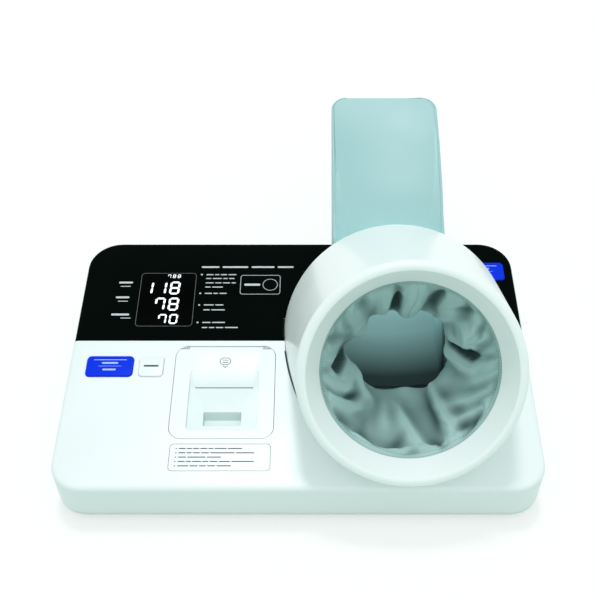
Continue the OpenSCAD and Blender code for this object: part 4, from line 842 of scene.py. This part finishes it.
piece("display_digits", *display_digits(), lit_white, "console", "window_dark", smooth=False)


def printed(name, parts, finish, body="console", slot="panel_black"):
    """Several printed marks as one piece."""
    return piece(name, *joined(parts), finish, body, slot, smooth=False)


def rules(x, t, lengths, height, space, low=-0.02, high=0.05):
    """A row of short rules with round ends, from x on, each as long as given."""
    parts = []
    for length in lengths:
        outline = oblong(length, height, height * 0.45, 3) + [x + length / 2, t]
        parts.append(inked_plate(outline, low, high))
        x += length + space
    return parts


window_ring = oblong(61, 74, 4) + [-146.5, 231.5]
printed("window_outline", [inked_line(window_ring, 0.55, -0.02, 0.05)], ink_dim)

panel_marks = []
for x, t, lengths in ((-201.5, 255, [15.5]), (-202.5, 234, [15]), (-204.5, 210.2, [19.5])):
    panel_marks += rules(x, t, lengths, 2.6, 1)
for x, t in ((-199, 249.6), (-199.5, 228.6), (-194, 205.4)):
    panel_marks += rules(x, t, [11], 1.0, 1)
panel_marks += rules(-111, 277.6, [20, 29, 26, 18], 2.4, 3.6)
panel_rows = [(266.5, [8, 5, 7, 9]), (260.9, [6, 10, 5, 6]), (254.6, [9, 7, 8, 5]), (248.6, [6, 12]),
              (239.6, [8, 5, 8]), (223.4, [11, 9]), (216.6, [7, 15]), (199.4, [9, 14]),
              (192.6, [6, 6, 8, 14])]
for t, words in panel_rows:
    panel_marks += rules(-105, t, words, 1.35, 1.6)
for t in (266.5, 239.6, 223.4, 199.4):
    panel_marks.append(inked_plate(circle(1.1) + [-110, t], -0.02, 0.05))
panel_marks.append(inked_line(oblong(44, 27, 3) + [-44, 252], 0.6, -0.02, 0.05))
panel_marks.append(inked_line(circle(8, 40) + [-33, 252], 0.6, -0.02, 0.05))
panel_marks.append(inked_plate(oblong(18, 3, 1.4) + [-53, 252], -0.02, 0.05))
printed("panel_print", panel_marks, ink_white)


# ---------- keys ----------

def key_cap(name, x, t, w, l, finish, body, slot):
    """A pillowed key cap over its key: the outline shrinks and the height grows round a quarter circle,
    to a flat top."""
    r, steps = 0.9, 7
    turn = np.radians(np.linspace(0, 90, steps))
    insets = np.concatenate([[0.0], r * (1 - np.cos(turn))])
    heights = np.concatenate([[0.1], KEY_PROUD - r + 0.05 + r * np.sin(turn)])
    grown = 0.06
    more = [2 * grown - 2 * i for i in insets]
    outlines = [oblong(w + m, l + m, max(KEY_R + m / 2, 1)) + [x, t] for m in more]
    obj = piece(name, *dome(outlines, heights), finishes[finish], body, slot)
    obj.modifiers.new("soft shading", "NODES").node_group = smoothing
    return obj


KEYS = [("start_key", -197, 141.8, 48.6, "key_blue"), ("clear_key", -153.8, 141.8, 25.4, "key_white"),
        ("rear_key", 204.7, 270.4, 48.6, "key_blue")]
for key_name, x, t, w, finish in KEYS:
    key_cap(key_name + "_cap", x, t, w, 25.2, finish, key_name, finish)

FACE = KEY_PROUD + 0.05
for key_name, x, t in (("start_key", -197, 141.8), ("rear_key", 204.7, 270.4)):
    marks = [inked_line([[x - 17, t + 7.6], [x + 17, t + 7.6]], 0.8, FACE - 0.02, FACE + 0.04, False),
             inked_line([[x - 12, t - 0.3], [x + 12, t - 0.3]], 0.4, FACE - 0.02, FACE + 0.04, False),
             inked_plate(oblong(17, 2.2, 1) + [x, t + 3.6], FACE - 0.02, FACE + 0.04),
             inked_plate(oblong(14, 2.2, 1) + [x, t - 4.6], FACE - 0.02, FACE + 0.04)]
    printed(key_name + "_print", marks, ink_pale_blue, key_name, "key_blue")
printed("clear_key_print", [inked_plate(oblong(15.5, 2.2, 1) + [-153.8, 141.8], FACE - 0.02, FACE + 0.04)],
        ink_dark, "clear_key", "key_white")

# ---------- printer cover and notice ----------

cover_marks = [inked_line(oblong(11, 8.5, 4) + [-77, 148.6], 0.8, -0.02, 0.05),
               inked_plate(oblong(6.4, 0.9, 0.4) + [-77, 150.1], -0.02, 0.05),
               inked_plate(oblong(6.4, 0.9, 0.4) + [-77, 147.2], -0.02, 0.05),
               inked_line([[-79.4, 143], [-77, 140.9], [-74.6, 143]], 0.9, -0.02, 0.05, False)]
printed("cover_print", cover_marks, ink_grey, "printer_cover", "case_white")

notice_marks = [inked_line(oblong(98.4, 29.4, 3.8) + [-76.5, 35.5], 0.4, -0.02, 0.04)]
notice_rows = [[7, 5, 6, 7, 5, 12, 14], [7, 5, 7, 8, 24, 18], [8, 18, 14], [7, 5, 9, 6, 8, 11, 22],
               [11, 8, 7, 8, 14]]
for row, words in enumerate(notice_rows):
    t = 45.2 - row * 4.75
    notice_marks += rules(-117, t, words, 1.15, 1.0, -0.02, 0.04)
    notice_marks.append(inked_plate(circle(0.7, 12) + [-119.4, t], -0.02, 0.04))
printed("notice_print", notice_marks, ink_dark, "console", "case_white")

# ---------- studio ----------


def floor():
    """A wide flat floor that keeps the shadow and reads as white where the camera, gloss or glass sees it."""
    edge = 4.0
    mesh = bpy.data.meshes.new("floor")
    corners = [(-edge, -edge, 0), (edge, -edge, 0), (edge, edge, 0), (-edge, edge, 0)]
    mesh.from_pydata(corners, [], [(0, 1, 2, 3)])
    obj = bpy.data.objects.new("floor", mesh)
    bpy.context.scene.collection.objects.link(obj)
    f = Finish("studio floor", (0.85, 0.85, 0.85, 1), 1.0, Specular_IOR_Level=0.0)
    path = f.add("ShaderNodeLightPath")
    seen = path.outputs["Is Camera Ray"]
    for other in ("Is Glossy Ray", "Is Transmission Ray"):
        both = {0: seen, 1: path.outputs[other]}
        seen = f.add("ShaderNodeMath", both, operation="MAXIMUM").outputs[0]
    f.two_tone(seen, (0.58, 0.72, 0.65, 1), (0.45, 0.45, 0.45, 1))
    f.set(f.shader, {"Emission Color": (1, 1, 1, 1)})
    lift = f.add("ShaderNodeMath", {0: seen, 1: 0.57}, operation="MULTIPLY").outputs[0]
    f.set(f.shader, {"Emission Strength": lift})
    mesh.materials.append(f.material)
    return obj


floor()


def soft_room():
    """White all round where it is seen, and an even soft light elsewhere."""
    world = bpy.data.worlds.new("soft room")
    bpy.context.scene.world = world
    world.use_nodes = True
    tree = world.node_tree
    back = tree.nodes["Background"]
    path, seen = tree.nodes.new("ShaderNodeLightPath"), tree.nodes.new("ShaderNodeMath")
    seen.operation = "MAXIMUM"
    seen_glass = tree.nodes.new("ShaderNodeMath")
    seen_glass.operation = "MAXIMUM"
    level = tree.nodes.new("ShaderNodeMapRange")
    tree.links.new(path.outputs["Is Camera Ray"], seen.inputs[0])
    tree.links.new(path.outputs["Is Glossy Ray"], seen.inputs[1])
    tree.links.new(seen.outputs[0], seen_glass.inputs[0])
    tree.links.new(path.outputs["Is Transmission Ray"], seen_glass.inputs[1])
    tree.links.new(seen_glass.outputs[0], level.inputs["Value"])
    level.inputs["To Min"].default_value, level.inputs["To Max"].default_value = 0.74, 1.0
    tree.links.new(level.outputs["Result"], back.inputs["Strength"])
    back.inputs["Color"].default_value = (0.86, 1, 0.96, 1)


soft_room()


def soft_sun(name, strength, angle, towards, colour):
    """A wide even lamp shining towards a direction."""
    lamp = bpy.data.lights.new(name, "SUN")
    lamp.color = colour
    lamp.energy, lamp.angle = strength, math.radians(angle)
    obj = bpy.data.objects.new(name, lamp)
    obj.rotation_euler = Vector(towards).to_track_quat("-Z", "Y").to_euler()
    bpy.context.scene.collection.objects.link(obj)


soft_sun("overhead light", 0.78, 10, (0.02, -0.28, -0.96), (0.99, 0.92, 0.98))
soft_sun("wide front light", 0.34, 60, (-0.12, 0.5, -0.86), (1.0, 0.94, 0.98))


def cup_lamp():
    """A small lamp behind the drum that lights the forearm scoop's cup; the camera and gloss don't see it."""
    lamp = bpy.data.lights.new("cup lamp", "POINT")
    lamp.energy, lamp.shadow_soft_size = 0.07, 0.012
    lamp.color = (0.9, 1.0, 1.0)
    obj = bpy.data.objects.new("cup lamp", lamp)
    obj.location = on_bench(100, 236, 124).tolist()
    obj.visible_camera = obj.visible_glossy = False
    bpy.context.scene.collection.objects.link(obj)


cup_lamp()

# ---------- camera ----------

camera = bpy.data.objects.new("photo camera", bpy.data.cameras.new("photo camera"))
bpy.context.scene.collection.objects.link(camera)
camera.location = (0.0124, -0.742768, 0.7996)
camera.rotation_euler = (math.radians(90 - 43.2), 0, 0)
camera.data.lens, camera.data.sensor_width = 57, 36
camera.data.shift_x = -11 / 600
camera.data.clip_start, camera.data.clip_end = 0.01, 50
bpy.context.scene.camera = camera
bpy.context.scene.view_settings.view_transform = "Standard"
